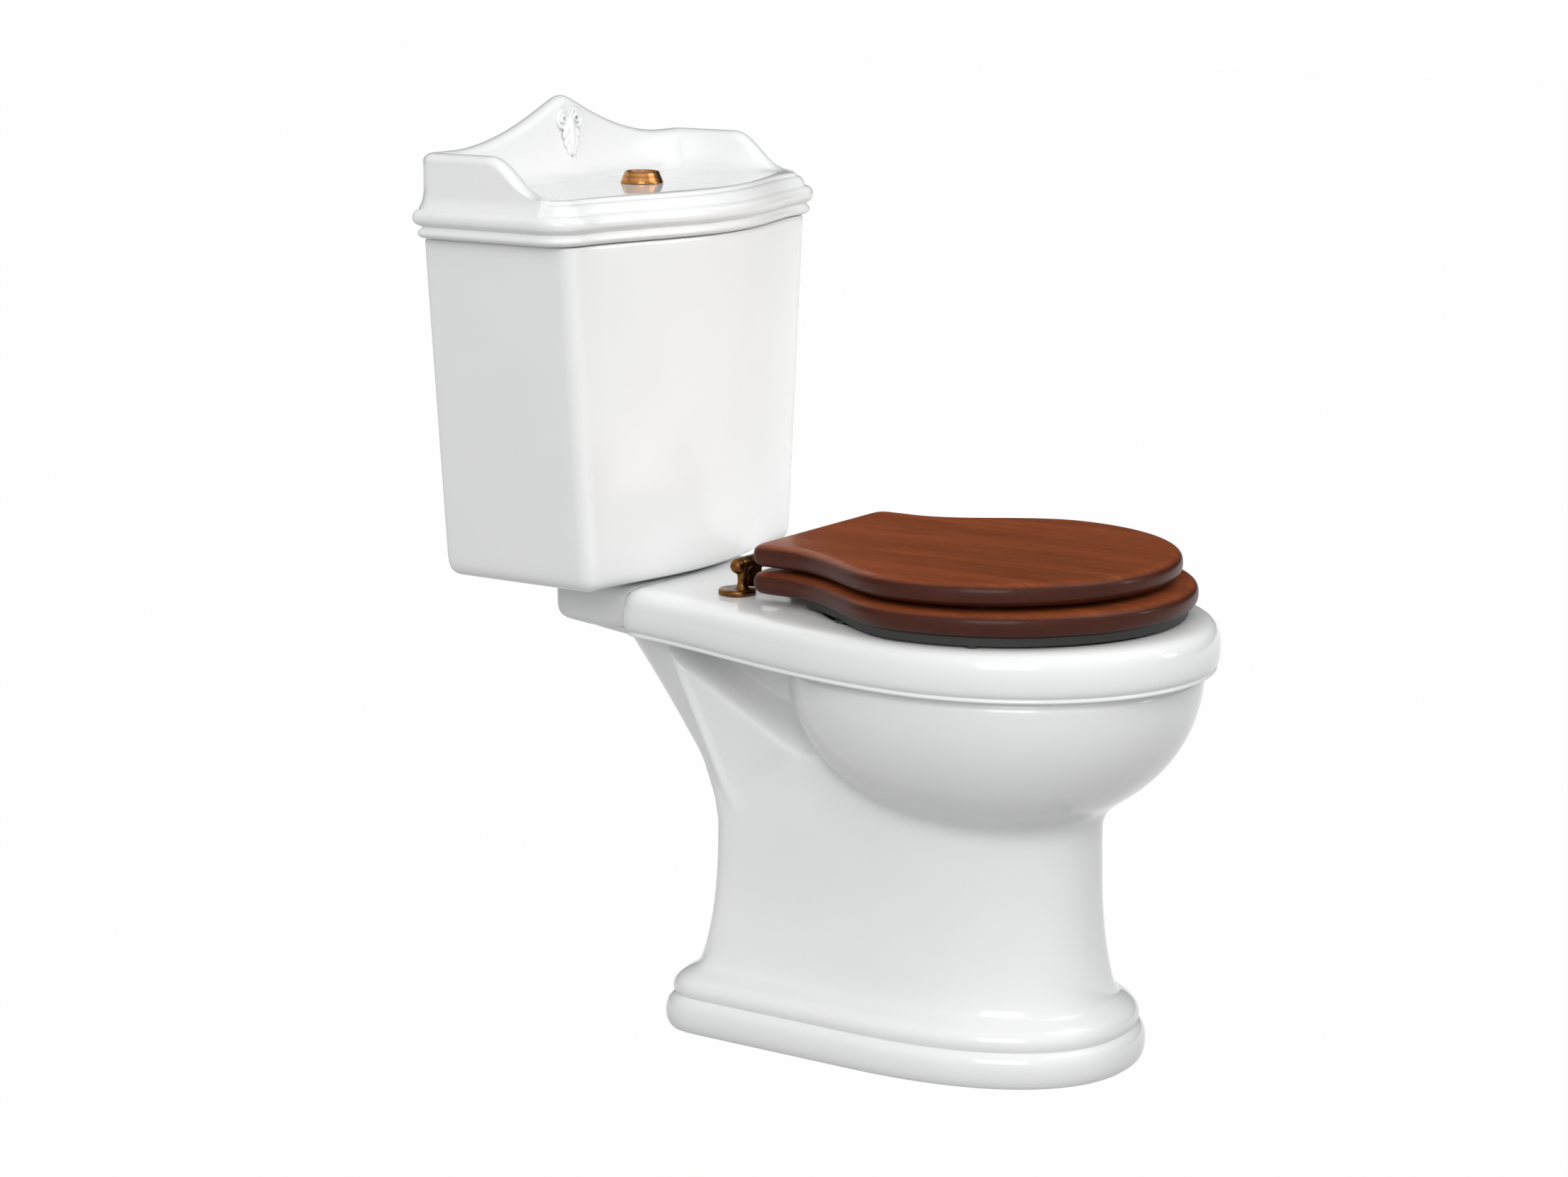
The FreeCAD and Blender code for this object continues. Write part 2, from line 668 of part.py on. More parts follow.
casting = cut(
    "pan_casting",
    fuse("pan_outside", feature("pan_pedestal", pedestal()), feature("rim_outside", rim_slab),
         feature("pan_horn", horn()), bowl_outside),
    feature("pan_hollow", pedestal_hollow()),
    side_recess(-1),
    side_recess(1),
)
pan_body = fuse(
    "pan_body", casting, bowl_outside,
    feature("trap_outside", trapway(float(s.trap_bore + s.trap_wall), trap_start)),
    cylinder("socket_outside", s.socket_bore + s.trap_wall, s.socket_depth + s.trap_wall, 0, 0, 0),
)
recess_floor = s.rim_top - s.recess_depth
nut_seat = s.rim_top - s.nut_seat_drop
pan_holes = [
    bowl_inside,
    feature("rim_opening", opening),
    feature("trap_bore_tube", trapway(float(s.trap_bore), trap_start + OVERLAP)),
    cylinder("socket_hole", s.socket_bore, s.socket_depth + OVERLAP, 0, 0, -OVERLAP),
    cylinder("gasket_recess", s.recess_radius, s.recess_depth + OVERLAP, 0, s.flush_axis, recess_floor),
    cylinder("pan_inlet", s.inlet_radius, s.flush_way_height + OVERLAP, 0, s.flush_axis,
             recess_floor - s.flush_way_height),
    box("flush_way", 2 * s.flush_way_half_width, s.flush_axis + s.bowl_middle - s.opening_half_length * 0.8,
        s.flush_way_height, -s.flush_way_half_width, s.opening_half_length * 0.8 - s.bowl_middle,
        recess_floor - s.flush_way_height),
]
for side in SIDES:
    pan_holes.append(cylinder(
        "pan_bolt_hole", s.bolt_radius + s.bolt_clearance, s.rim_depth * 2,
        side * s.bolt_offset, s.flush_axis, s.rim_top - s.rim_depth * 1.5))
    pan_holes.append(cylinder(
        "nut_pocket", s.nut_pocket, s.horn_depth + s.horn_drop, side * s.bolt_offset, s.flush_axis,
        nut_seat - s.horn_depth - s.horn_drop))
    pan_holes.append(cylinder(
        "pan_hinge_hole", s.stud_radius + s.bolt_clearance, s.rim_depth * 2,
        side * s.hinge_half_spacing, s.hinge_axis_back, s.rim_top - s.rim_depth * 1.5))
pan_whole = cut("pan_whole", pan_body, *pan_holes)

# The clay is cast in three moulds, stuck together at the waist and under the rim, and fired as one piece
zone_half = 2 * s.rim_half_width
zone_length = 2 * (s.rim_front + s.wall_setback)
zone_front = -s.rim_front - s.wall_setback
horn_root = s.shelf_back + s.rim_round * 2


def foot_zone():
    return box("foot_zone", 2 * zone_half, zone_length, s.waist_height + OVERLAP, -zone_half, zone_front, -OVERLAP)


def rim_zone():
    top = box("rim_zone_top", 2 * zone_half, zone_length, s.rim_depth + OVERLAP, -zone_half, zone_front, rim_bottom)
    rear = box("rim_zone_horn", 2 * zone_half, zone_length, s.rim_top - s.waist_height, -zone_half, horn_root, s.waist_height)
    return fuse("rim_zone", top, rear)


node("pan_foot", common("pan_foot", pan_whole, foot_zone()))
node("pan_bowl", cut("pan_bowl", pan_whole, foot_zone(), rim_zone()))
node("pan_rim", common("pan_rim", pan_whole, rim_zone()))


# Cistern tank: a tapered box with a swelling front, holed in its floor and back

def tank_wire(inset, height):
    share = (height - float(tank_under)) / float(s.tank_height)
    half = float(s.tank_half_width_low) + float(s.tank_half_width_top - s.tank_half_width_low) * share
    bow = float(s.tank_bow_low) + float(s.tank_bow_top - s.tank_bow_low) * share
    return bow_front(half, float(s.wall_setback), float(s.tank_depth), bow, float(s.tank_corner), inset, height)


def tank_outside():
    low = float(tank_under)
    foot = 9.0
    wires = [tank_wire(foot, low), tank_wire(foot * 0.3, low + foot * 0.3), tank_wire(0, low + foot)]
    return Part.makeLoft(wires + [tank_wire(0, float(tank_top))], True, True)


wall = float(s.tank_wall)
tank_hollow = Part.makeLoft(
    [tank_wire(wall, float(tank_inside)), tank_wire(wall, float(tank_top) + OVERLAP)], True, True)
floor_hole_low = tank_under - OVERLAP
floor_hole_height = s.tank_floor + 2 * OVERLAP
tank_holes = [
    feature("tank_hollow", tank_hollow),
    cylinder("valve_hole", s.tail_radius + s.bolt_clearance, floor_hole_height, 0, s.flush_axis, floor_hole_low),
    cylinder("fill_hole", s.inlet_tail_radius + s.fit_gap * 2 + s.bolt_clearance, floor_hole_height,
             s.fill_across, s.fill_axis, floor_hole_low),
]
for side in SIDES:
    tank_holes.append(cylinder(
        "tank_bolt_hole", s.bolt_radius + s.bolt_clearance, floor_hole_height,
        side * s.bolt_offset, s.flush_axis, floor_hole_low))
    tank_holes.append(cylinder(
        "wall_hole", s.wall_hole_radius, s.tank_wall + 2 * OVERLAP, side * s.wall_hole_spacing / 2,
        s.wall_setback - s.tank_wall - OVERLAP, tank_top - s.wall_hole_drop, "Y"))
node("cistern_tank", cut("cistern_tank", feature("tank_outside", tank_outside()), *tank_holes))


# Cistern lid: a hollow slab with a moulded edge, a back gallery that rises to a peak, and two side wings

def lid_wire(inset, height):
    reach = float(s.lid_reach)
    return bow_front(
        float(s.tank_half_width_top) + reach, float(s.wall_setback), float(s.tank_depth + s.lid_front_reach),
        float(s.tank_bow_top), float(s.tank_corner) + reach, inset, height)


def lid_slab():
    low, high = float(tank_top), float(deck)
    rise = high - low
    edge = [(0.0, 0.45), (0.06, 0.25), (0.14, 0.16), (0.22, 0.22), (0.28, 0.34), (0.33, 0.12), (0.42, 0.0),
            (0.54, 0.03), (0.64, 0.2), (0.76, 0.55), (0.88, 0.8), (1.0, 0.95)]
    reach = float(s.lid_reach)
    return Part.makeLoft([lid_wire(reach * inset, low + rise * share) for share, inset in edge], True, True)


def gallery_height(across):
    share = max(0.0, 1 - abs(across) / float(s.gallery_reach))
    return float(deck + s.gallery_rise) + float(s.gallery_peak - s.gallery_rise) * share ** 1.8


def gallery():
    reach = float(s.lid_reach)
    half = float(s.tank_half_width_top) + reach * 0.5
    back = float(s.wall_setback) - reach * 0.2
    low = float(deck) - OVERLAP - reach * 0.3
    steps = 24
    crest = [Vector(half * (2 * index / steps - 1), back, gallery_height(half * (2 * index / steps - 1)))
             for index in range(steps + 1)]
    curve = Part.BSplineCurve()
    curve.interpolate(crest)
    foot = [crest[-1], Vector(half, back, low), Vector(-half, back, low), crest[0]]
    outline = Part.Wire([curve.toShape()] + [Part.makeLine(a, b) for a, b in zip(foot, foot[1:])])
    return Part.Face(outline).extrude(Vector(0, -float(s.gallery_wall), 0))


def gallery_wing(side):
    reach = float(s.lid_reach)
    half = float(s.tank_half_width_top) + reach * 0.5
    back = float(s.wall_setback) - reach * 0.2
    low = float(deck) - OVERLAP - reach * 0.3
    rise, level = float(s.gallery_rise), float(deck)
    slope, flat = float(s.wing_slope), back - float(s.wing_length)
    steps = 8
    curl = [Vector(side * half, flat - slope * index / steps,
                   level + rise * (0.5 + 0.5 * math.cos(math.pi * index / steps)) - OVERLAP * index / steps)
            for index in range(steps + 1)]
    curve = Part.BSplineCurve()
    curve.interpolate(curl)
    foot = [curl[-1], Vector(side * half, curl[-1].y, low), Vector(side * half, back, low),
            Vector(side * half, back, level + rise), curl[0]]
    outline = Part.Wire([curve.toShape()] + [Part.makeLine(a, b) for a, b in zip(foot, foot[1:])])
    return Part.Face(outline).extrude(Vector(-side * float(s.gallery_wall), 0, 0))


shell = float(s.lid_shell)
lid_hollow = Part.makeLoft(
    [tank_wire(wall, float(tank_top) - OVERLAP), tank_wire(wall, float(deck) - shell)], True, True)
lip_top = float(deck) - shell * 0.5
lip_low = float(tank_top - s.lid_lip)
lip_gap = wall + float(s.fit_gap)
lip = Part.makeLoft([tank_wire(lip_gap, lip_low), tank_wire(lip_gap, lip_top)], True, True)
lip_hollow = Part.makeLoft(
    [tank_wire(lip_gap + shell * 0.6, lip_low - OVERLAP), tank_wire(lip_gap + shell * 0.6, lip_top + OVERLAP)],
    True, True)
lid_top = cut(
    "lid_top",
    fuse("lid_outside", feature("lid_slab", lid_slab()), feature("lid_gallery", gallery()),
         *[feature("lid_wing", gallery_wing(side)) for side in SIDES]),
    feature("lid_hollow", lid_hollow),
    cylinder("button_hole", s.shank_radius + s.bolt_clearance, s.lid_height * 2, 0, s.flush_axis,
             deck - s.lid_height),
)
lid_lip = cut("lid_lip", feature("lip_outside", lip), feature("lip_hollow", lip_hollow))
node("cistern_lid", fuse("cistern_lid", lid_top, lid_lip))

# Coupling: a soft gasket round the flush valve's tail and two bolts with washers and wing nuts
node("coupling_gasket", tube(
    "coupling_gasket", s.recess_radius - s.bolt_clearance, s.backnut_radius + s.bolt_clearance,
    tank_under - recess_floor, 0, s.flush_axis, recess_floor))


def headed_bolt(name, x, y, head_low, low):
    return fuse(
        name,
        cylinder(f"{name}_shank", s.bolt_radius, head_low - low + OVERLAP, x, y, low),
        cylinder(f"{name}_head", s.bolt_head_radius, s.bolt_head_height, x, y, head_low),
    )


def wing_nut(name, hole, x, y, top):
    """A hub with two flat wings, under the face that it clamps."""
    low = top - s.wing_nut_height
    hub = cylinder(f"{name}_hub", s.wing_nut_radius, s.wing_nut_height, x, y, low)
    wings = box(f"{name}_wings", s.wing_thickness, 2 * s.wing_span, s.wing_nut_height * 0.8,
                x - s.wing_thickness / 2, y - s.wing_span, low)
    bore = cylinder(f"{name}_bore", hole, s.wing_nut_height + 2 * OVERLAP, x, y, low - OVERLAP)
    return cut(name, fuse(f"{name}_outside", hub, wings), bore)


bolt_head_low = tank_inside + s.washer_thickness
nut_hole = s.bolt_radius + s.pin_clearance
node("cistern_bolts", group("cistern_bolts", *[
    headed_bolt("cistern_bolt", side * s.bolt_offset, s.flush_axis, bolt_head_low, nut_seat - s.bolt_tail)
    for side in SIDES]))
node("bolt_seals", group("bolt_seals", *[
    tube("bolt_seal", s.washer_radius, nut_hole, s.washer_thickness, side * s.bolt_offset, s.flush_axis, tank_inside)
    for side in SIDES]))
node("bolt_plates", group("bolt_plates", *[
    tube("bolt_plate", s.washer_radius, nut_hole, s.plate_thickness, side * s.bolt_offset, s.flush_axis,
         nut_seat - s.plate_thickness)
    for side in SIDES]))
node("bolt_wing_nuts", group("bolt_wing_nuts", *[
    wing_nut("bolt_wing_nut", nut_hole, side * s.bolt_offset, s.flush_axis, nut_seat - s.plate_thickness)
    for side in SIDES]))

# Flush valve: a base clamped in the tank's floor, a windowed tower, and a stem that lifts the seal
tail_bore = s.tail_radius - s.tail_wall
valve_seat = flange_top + s.flange_thickness
node("flush_valve_base", on_flush_axis("flush_valve_base", turned("valve_base_turning", [
    (tail_bore, tank_under - s.tail_drop),
    (s.tail_radius, tank_under - s.tail_drop),
    (s.tail_radius, flange_low),
    (s.valve_flange, flange_low),
    (s.valve_flange, flange_top),
    (s.tail_radius, flange_top),
    (s.tail_radius - s.tail_wall / 2, valve_seat),
    (tail_bore, valve_seat),
])))
node("flush_valve_washer", tube(
    "flush_valve_washer", s.valve_flange, s.tail_radius + s.fit_gap, s.washer_thickness, 0, s.flush_axis, tank_inside))
node("flush_valve_backnut", tube(
    "flush_valve_backnut", s.backnut_radius, s.tail_radius + s.pin_clearance, s.backnut_height,
    0, s.flush_axis, tank_under - s.backnut_height))

tower_top = flange_top + s.tower_height
pivot_height = tower_top + s.rocker_height
ear_gap = s.rocker_width / 2 + s.fit_gap
ear_thickness = s.rocker_thickness
plate_low = tower_top - s.flange_thickness
tower_parts = [turned("tower_turning", [
    (s.tower_radius - s.tower_wall, flange_top),
    (s.tower_radius, flange_top),
    (s.tower_radius, tower_top),
    (s.stem_radius + s.bolt_clearance, tower_top),
    (s.stem_radius + s.bolt_clearance, plate_low),
    (s.tower_radius - s.tower_wall, plate_low),
])]
ear_reach = s.pin_radius * 2.2
for side in SIDES:
    for cheek in SIDES:
        tower_parts.append(box(
            "tower_ear", 2 * ear_reach, ear_thickness, s.rocker_height + ear_reach + OVERLAP,
            side * s.rocker_pivot - ear_reach,
            cheek * (ear_gap + ear_thickness / 2) - ear_thickness / 2, tower_top - OVERLAP))
window_half = s.tower_radius * 0.5
windows = [
    box("tower_window_x", 4 * s.tower_radius, 2 * window_half, s.tower_window, -2 * s.tower_radius, -window_half,
        valve_seat + s.flange_thickness),
    box("tower_window_y", 2 * window_half, 4 * s.tower_radius, s.tower_window, -window_half, -2 * s.tower_radius,
        valve_seat + s.flange_thickness),
]
pin_reach = ear_gap + ear_thickness
pin_holes = [
    cylinder("tower_pin_hole", s.pin_radius + s.pin_clearance, 2 * pin_reach + 2 * OVERLAP, side * s.rocker_pivot,
             -pin_reach - OVERLAP, pivot_height, "Y")
    for side in SIDES]
node("valve_tower", on_flush_axis("valve_tower", cut(
    "tower_cut", fuse("tower_outside", *tower_parts), *windows, *pin_holes)))
node("rocker_pins", on_flush_axis("rocker_pins", group("rocker_pin_pair", *[
    cylinder("rocker_pin", s.pin_radius, 2 * pin_reach, side * s.rocker_pivot, -pin_reach, pivot_height, "Y")
    for side in SIDES])))

# The stem slides up through the tower; its half collar is lifted by the full-flush rocker
rocker_top = pivot_height + s.rocker_thickness / 2
collar_low = rocker_top + s.fit_gap * 2
collar_thickness = s.rocker_thickness
collar_radius = s.rocker_pivot - s.rocker_arm * 0.6
stem_top = tower_top + s.stem_rise
seal_low = valve_seat + s.fit_gap
stem_bore = s.stem_radius - s.stem_wall
stem_tube = turned("stem_turning", [
    (stem_bore, seal_low),
    (s.seal_radius * 0.8, seal_low + s.seal_thickness),
    (s.seal_radius * 0.8, seal_low + 2 * s.seal_thickness),
    (s.stem_radius, seal_low + 2.5 * s.seal_thickness),
    (s.stem_radius, stem_top),
    (stem_bore, stem_top),
])
stem_foot = cylinder("stem_foot", s.stem_radius, s.seal_thickness, 0, 0, seal_low)
stem_foot_bore = cylinder("stem_foot_bore", stem_bore, 4 * s.seal_thickness, 0, 0, seal_low - s.seal_thickness)
full_collar = common(
    "full_collar",
    tube("full_collar_disc", collar_radius, s.stem_radius - s.stem_wall / 2, collar_thickness, 0, 0, collar_low),
    box("full_collar_side", collar_radius, 2 * collar_radius, 2 * collar_thickness,
        s.fit_gap * 4, -collar_radius, collar_low - collar_thickness / 2))
node("flush_stem", on_flush_axis("flush_stem", fuse(
    "stem_outside", stem_tube, cut("stem_foot_ring", stem_foot, stem_foot_bore), full_collar)))
node("flush_seal", on_flush_axis("flush_seal", cut(
    "seal_ring",
    cylinder("seal_disc", s.seal_radius, s.seal_thickness, 0, 0, seal_low),
    turned("seal_seat", [
        (0, seal_low - OVERLAP),
        (s.stem_radius + s.pin_clearance, seal_low - OVERLAP),
        (s.stem_radius + s.pin_clearance, seal_low),
        (s.seal_radius * 0.8 + s.pin_clearance, seal_low + s.seal_thickness),
        (s.seal_radius * 0.8 + s.pin_clearance, seal_low + s.seal_thickness + OVERLAP),
        (0, seal_low + s.seal_thickness + OVERLAP),
    ]))))

# The half-flush trip is a sleeve segment on the other side of the stem, lifted by the half-flush rocker
trip_bore = s.stem_radius + s.fit_gap
trip_length = s.rocker_height * 0.9
node("half_flush_trip", on_flush_axis("half_flush_trip", common(
    "trip_half",
    fuse("trip_whole",
         tube("trip_collar", collar_radius, trip_bore, collar_thickness, 0, 0, collar_low),
         tube("trip_sleeve", trip_bore + s.stem_wall / 2, trip_bore, trip_length, 0, 0, collar_low)),
    box("trip_side", collar_radius, 2 * collar_radius, 4 * trip_length, -collar_radius - s.fit_gap * 4,
        -collar_radius, collar_low - trip_length))))


def rocker(name, side):
    """A lever on its pin: the rod presses its outer end and its inner end lifts."""
    bar = box(f"{name}_bar", 2 * s.rocker_arm, s.rocker_width, s.rocker_thickness,
              side * s.rocker_pivot - s.rocker_arm, -s.rocker_width / 2,
              pivot_height - s.rocker_thickness / 2)
    hub = cylinder(f"{name}_hub", s.rocker_thickness * 0.7, s.rocker_width, side * s.rocker_pivot,
                   -s.rocker_width / 2, pivot_height, "Y")
    bore = cylinder(f"{name}_bore", s.pin_radius + s.pin_clearance, s.rocker_width + 2 * OVERLAP,
                    side * s.rocker_pivot, -s.rocker_width / 2 - OVERLAP, pivot_height, "Y")
    return on_flush_axis(name, cut(f"{name}_lever", fuse(f"{name}_outside", bar, hub), bore))


node("full_flush_rocker", rocker("full_flush_rocker", 1))
node("half_flush_rocker", rocker("half_flush_rocker", -1))

# Push button: a conical brass bezel screwed through the lid, with two half keys, their springs and rods
bezel_top_height = deck + s.bezel_height
key_low = deck + s.bezel_height - s.key_height - s.fit_gap * 3
key_well = s.key_radius + s.fit_gap
well_floor = key_low - s.key_travel - s.fit_gap * 4
spring_floor = deck - s.shank_length * 0.45
floor_thickness = s.stem_wall
bezel_shell = turned("bezel_turning", [
    (s.shank_bore, deck - s.shank_length),
    (s.shank_radius, deck - s.shank_length),
    (s.shank_radius, deck),
    (s.bezel_base, deck),
    (s.bezel_base, deck + s.bezel_height * 0.15),
    (s.bezel_top, bezel_top_height),
    (key_well, bezel_top_height),
    (key_well, well_floor),
    (s.shank_bore, well_floor),
])
spring_plate = cut(
    "spring_plate",
    cylinder("spring_plate_disc", s.shank_bore + OVERLAP, floor_thickness, 0, 0, spring_floor - floor_thickness),
    *[cylinder("plunger_hole", s.plunger_radius + s.fit_gap, 3 * floor_thickness, side * s.plunger_offset, 0,
               spring_floor - 2 * floor_thickness) for side in SIDES])
node("button_bezel", on_flush_axis("button_bezel", fuse("bezel_whole", bezel_shell, spring_plate)))
node("button_nut", tube(
    "button_nut", s.button_nut_radius, s.shank_radius + s.pin_clearance, s.button_nut_height,
    0, s.flush_axis, deck - s.lid_shell - s.button_nut_height))

arm_top = deck - s.shank_length - s.key_travel * 0.5
arm_height = s.rod_radius * 2
rod_across = s.rocker_pivot + s.rocker_arm * 0.8
rod_tip = rocker_top + s.fit_gap * 3


def push_key(name, side):
    """A half-round key with a plunger down the shank and an arm out to its push rod."""
    cap = common(
        f"{name}_cap",
        cylinder(f"{name}_disc", s.key_radius, s.key_height, 0, 0, key_low),
        box(f"{name}_half", s.key_radius, 2 * s.key_radius, 3 * s.key_height,
            s.key_gap / 2 if side > 0 else -s.key_radius - s.key_gap / 2, -s.key_radius, key_low - s.key_height))
    plunger = cylinder(f"{name}_plunger", s.plunger_radius, key_low - arm_top + arm_height + OVERLAP,
                       side * s.plunger_offset, 0, arm_top - arm_height)
    inner = s.plunger_offset - s.plunger_radius
    arm_length = rod_across + s.rod_radius - inner
    arm = box(f"{name}_arm", arm_length, arm_height, arm_height,
              inner if side > 0 else -inner - arm_length, -arm_height / 2, arm_top - arm_height)
    return on_flush_axis(name, fuse(f"{name}_whole", cap, plunger, arm))


def push_rod(name, side):
    tip = ball(f"{name}_tip", s.rod_radius, side * rod_across, 0, rod_tip + s.rod_radius)
    shaft = cylinder(f"{name}_shaft", s.rod_radius, arm_top - arm_height - rod_tip - s.rod_radius,
                     side * rod_across, 0, rod_tip + s.rod_radius)
    return on_flush_axis(name, fuse(f"{name}_whole", shaft, tip))


def key_spring(name, side):
    return on_flush_axis(name, tube(
        f"{name}_coil", s.spring_radius, s.spring_radius - s.spring_wall, key_low - spring_floor,
        side * s.plunger_offset, 0, spring_floor))


for label, side in (("full_flush", 1), ("half_flush", -1)):
    node(f"{label}_key", push_key(f"{label}_key", side))
    node(f"{label}_rod", push_rod(f"{label}_rod", side))
    node(f"{label}_spring", key_spring(f"{label}_spring", side))

# Fill valve: a threaded tail in the tank's floor, a riser, a float cup round it and a lever on its head
riser_top = flange_top + s.riser_height
tail_step = tank_under - s.inlet_nut_height - OVERLAP
tail_thick = s.inlet_tail_radius + s.fit_gap * 2
head_top = riser_top + s.head_height
node("fill_valve_body", turned("fill_valve_body", [
    (s.inlet_tail_bore, tank_under - s.inlet_tail_drop),
    (s.inlet_tail_radius, tank_under - s.inlet_tail_drop),
    (s.inlet_tail_radius, tail_step),
    (tail_thick, tail_step),
    (tail_thick, flange_low),
    (s.riser_radius * 1.5, flange_low),
    (s.riser_radius * 1.5, flange_top),
    (s.riser_radius, flange_top),
    (s.riser_radius, riser_top),
    (s.inlet_tail_bore, riser_top),
], s.fill_across, s.fill_axis))
node("fill_valve_washer", tube(
    "fill_valve_washer", s.riser_radius * 1.5, tail_thick + s.fit_gap, s.washer_thickness,
    s.fill_across, s.fill_axis, tank_inside))
node("fill_valve_backnut", tube(
    "fill_valve_backnut", s.inlet_nut_radius, tail_thick + s.pin_clearance, s.inlet_nut_height,
    s.fill_across, s.fill_axis, tank_under - s.inlet_nut_height))

lever_height = head_top + s.lever_thickness
fill_head = turned("fill_head_turning", [
    (0, riser_top),
    (s.head_radius * 0.8, riser_top),
    (s.head_radius, riser_top + s.head_height * 0.3),
    (s.head_radius, head_top - s.head_height * 0.2),
    (s.head_radius * 0.8, head_top),
    (0, head_top),
], s.fill_across, s.fill_axis)
lever_ear_gap = s.lever_width / 2 + s.fit_gap
lever_ear = s.pin_radius * 2.2
lever_ears = [
    box("lever_ear", ear_thickness * 0.6, 2 * lever_ear, s.lever_thickness + lever_ear + OVERLAP,
        s.fill_across + cheek * (lever_ear_gap + ear_thickness * 0.3) - ear_thickness * 0.3,
        s.fill_axis - lever_ear, head_top - OVERLAP)
    for cheek in SIDES]
lever_pin_reach = lever_ear_gap + ear_thickness * 0.6
node("fill_valve_head", cut(
    "fill_valve_head", fuse("fill_head_outside", fill_head, *lever_ears),
    cylinder("lever_pin_hole", s.pin_radius + s.pin_clearance, 2 * lever_pin_reach + 2 * OVERLAP,
             s.fill_across - lever_pin_reach - OVERLAP, s.fill_axis, lever_height, "X")))
node("lever_pin", cylinder("lever_pin", s.pin_radius, 2 * lever_pin_reach, s.fill_across - lever_pin_reach,
                           s.fill_axis, lever_height, "X"))
lever_bar = box("lever_bar", s.lever_width, s.lever_length + lever_ear, s.lever_thickness,
                s.fill_across - s.lever_width / 2, s.fill_axis - s.lever_length,
                lever_height - s.lever_thickness / 2)
node("float_lever", cut(
    "float_lever", lever_bar,
    cylinder("lever_bore", s.pin_radius + s.pin_clearance, s.lever_width + 2 * OVERLAP,
             s.fill_across - s.lever_width / 2 - OVERLAP, s.fill_axis, lever_height, "X")))

float_low = flange_top + s.float_rest
float_top = float_low + s.float_height
float_bore = s.riser_radius + s.fit_gap
node("float_cup", turned("float_cup", [
    (float_bore, float_low),
    (float_bore + s.float_wall, float_low),
    (float_bore + s.float_wall, float_top - s.float_wall),
    (s.float_radius - s.float_wall, float_top - s.float_wall),
    (s.float_radius - s.float_wall, float_low),
    (s.float_radius, float_low),
    (s.float_radius, float_top),
    (float_bore, float_top),
], s.fill_across, s.fill_axis))
link_back = s.fill_axis - s.lever_length + s.rod_radius * 1.5
link_tip = lever_height - s.lever_thickness / 2 - s.fit_gap * 2
link_low = float_top
link_foot = box("link_foot", 2 * s.rod_radius, s.lever_length - s.rod_radius * 1.5 - float_bore + s.rod_radius,
                s.rod_radius, s.fill_across - s.rod_radius, link_back - s.rod_radius, link_low)
link_shaft = cylinder("link_shaft", s.rod_radius * 0.7, link_tip - link_low - s.rod_radius * 0.7,
                      s.fill_across, link_back, link_low)
link_ball = ball("link_ball", s.rod_radius * 0.7, s.fill_across, link_back, link_tip - s.rod_radius * 0.7)
node("float_link", fuse("float_link", link_foot, link_shaft, link_ball))

# Seat ring and seat lid: turned-edge mahogany boards with a waisted hinge end
ring_plan = SimpleNamespace(
    back=float(s.seat_back),
    front=-float(s.ring_front),
    middle=-float(s.seat_middle),
    neck=float(s.seat_neck_half_width),
    belly=float(s.ring_half_width),
    run=float(s.seat_neck_run),
    sweep=2.0,
)
cover_plan = SimpleNamespace(**vars(ring_plan))
cover_plan.front = -float(s.cover_front)
cover_plan.belly = float(s.cover_half_width)
wood_round = float(s.wood_round)


def board(plan, low, thickness):
    return rounded_slab(lambda inset, height: waisted(plan, inset, height), float(low), float(low + thickness),
                        wood_round, wood_round)


ring_hole_wire = oval(
    float(s.ring_hole_half_width),
    -float(s.seat_middle + s.ring_hole_half_length),
    -float(s.seat_middle - s.ring_hole_half_length),
    -float(s.seat_middle),
    float(ring_low) - OVERLAP,
    2.2, 2.2,
)
ring_hole = Part.Face(ring_hole_wire).extrude(Vector(0, 0, float(s.ring_thickness) + 2 * OVERLAP))
ring_board = feature("ring_board", board(ring_plan, ring_low, s.ring_thickness))
cover_board = feature("cover_board", board(cover_plan, cover_low, s.cover_thickness))

# Hinge: a post on each side carries a pin, on which a seat knuckle and a lid knuckle turn
barrel_inner = s.hinge_half_spacing - s.barrel_length / 2
seat_knuckle = barrel_inner - s.leaf_gap - s.leaf_width
cover_knuckle = seat_knuckle - s.leaf_gap - s.leaf_width
knuckle_bore = s.hinge_pin_radius + s.pin_clearance
leaf_back = s.hinge_axis_back
seat_plate_low = ring_low - s.leaf_thickness
cover_plate_low = cover_low - s.leaf_thickness
plate_front = s.seat_back - s.leaf_length


def leaf(name, inner, side, plate_at, link_low_at, link_high):
    """A knuckle with a plate that runs forward, joined by an upright link behind the wood."""
    low_x = inner if side > 0 else -inner - s.leaf_width
    knuckle = cylinder(f"{name}_knuckle", s.barrel_radius, s.leaf_width, low_x, s.hinge_axis_back, hinge_height, "X")
    plate = box(f"{name}_plate", s.leaf_width, leaf_back - plate_front, s.leaf_thickness, low_x, plate_front, plate_at)
    link = box(f"{name}_link", s.leaf_width, s.barrel_radius, link_high - link_low_at, low_x,
               leaf_back - s.barrel_radius, link_low_at)
    bore = cylinder(f"{name}_bore", knuckle_bore, s.leaf_width + 2 * OVERLAP, low_x - OVERLAP,
                    s.hinge_axis_back, hinge_height, "X")
    return cut(name, fuse(f"{name}_outside", knuckle, plate, link), bore)


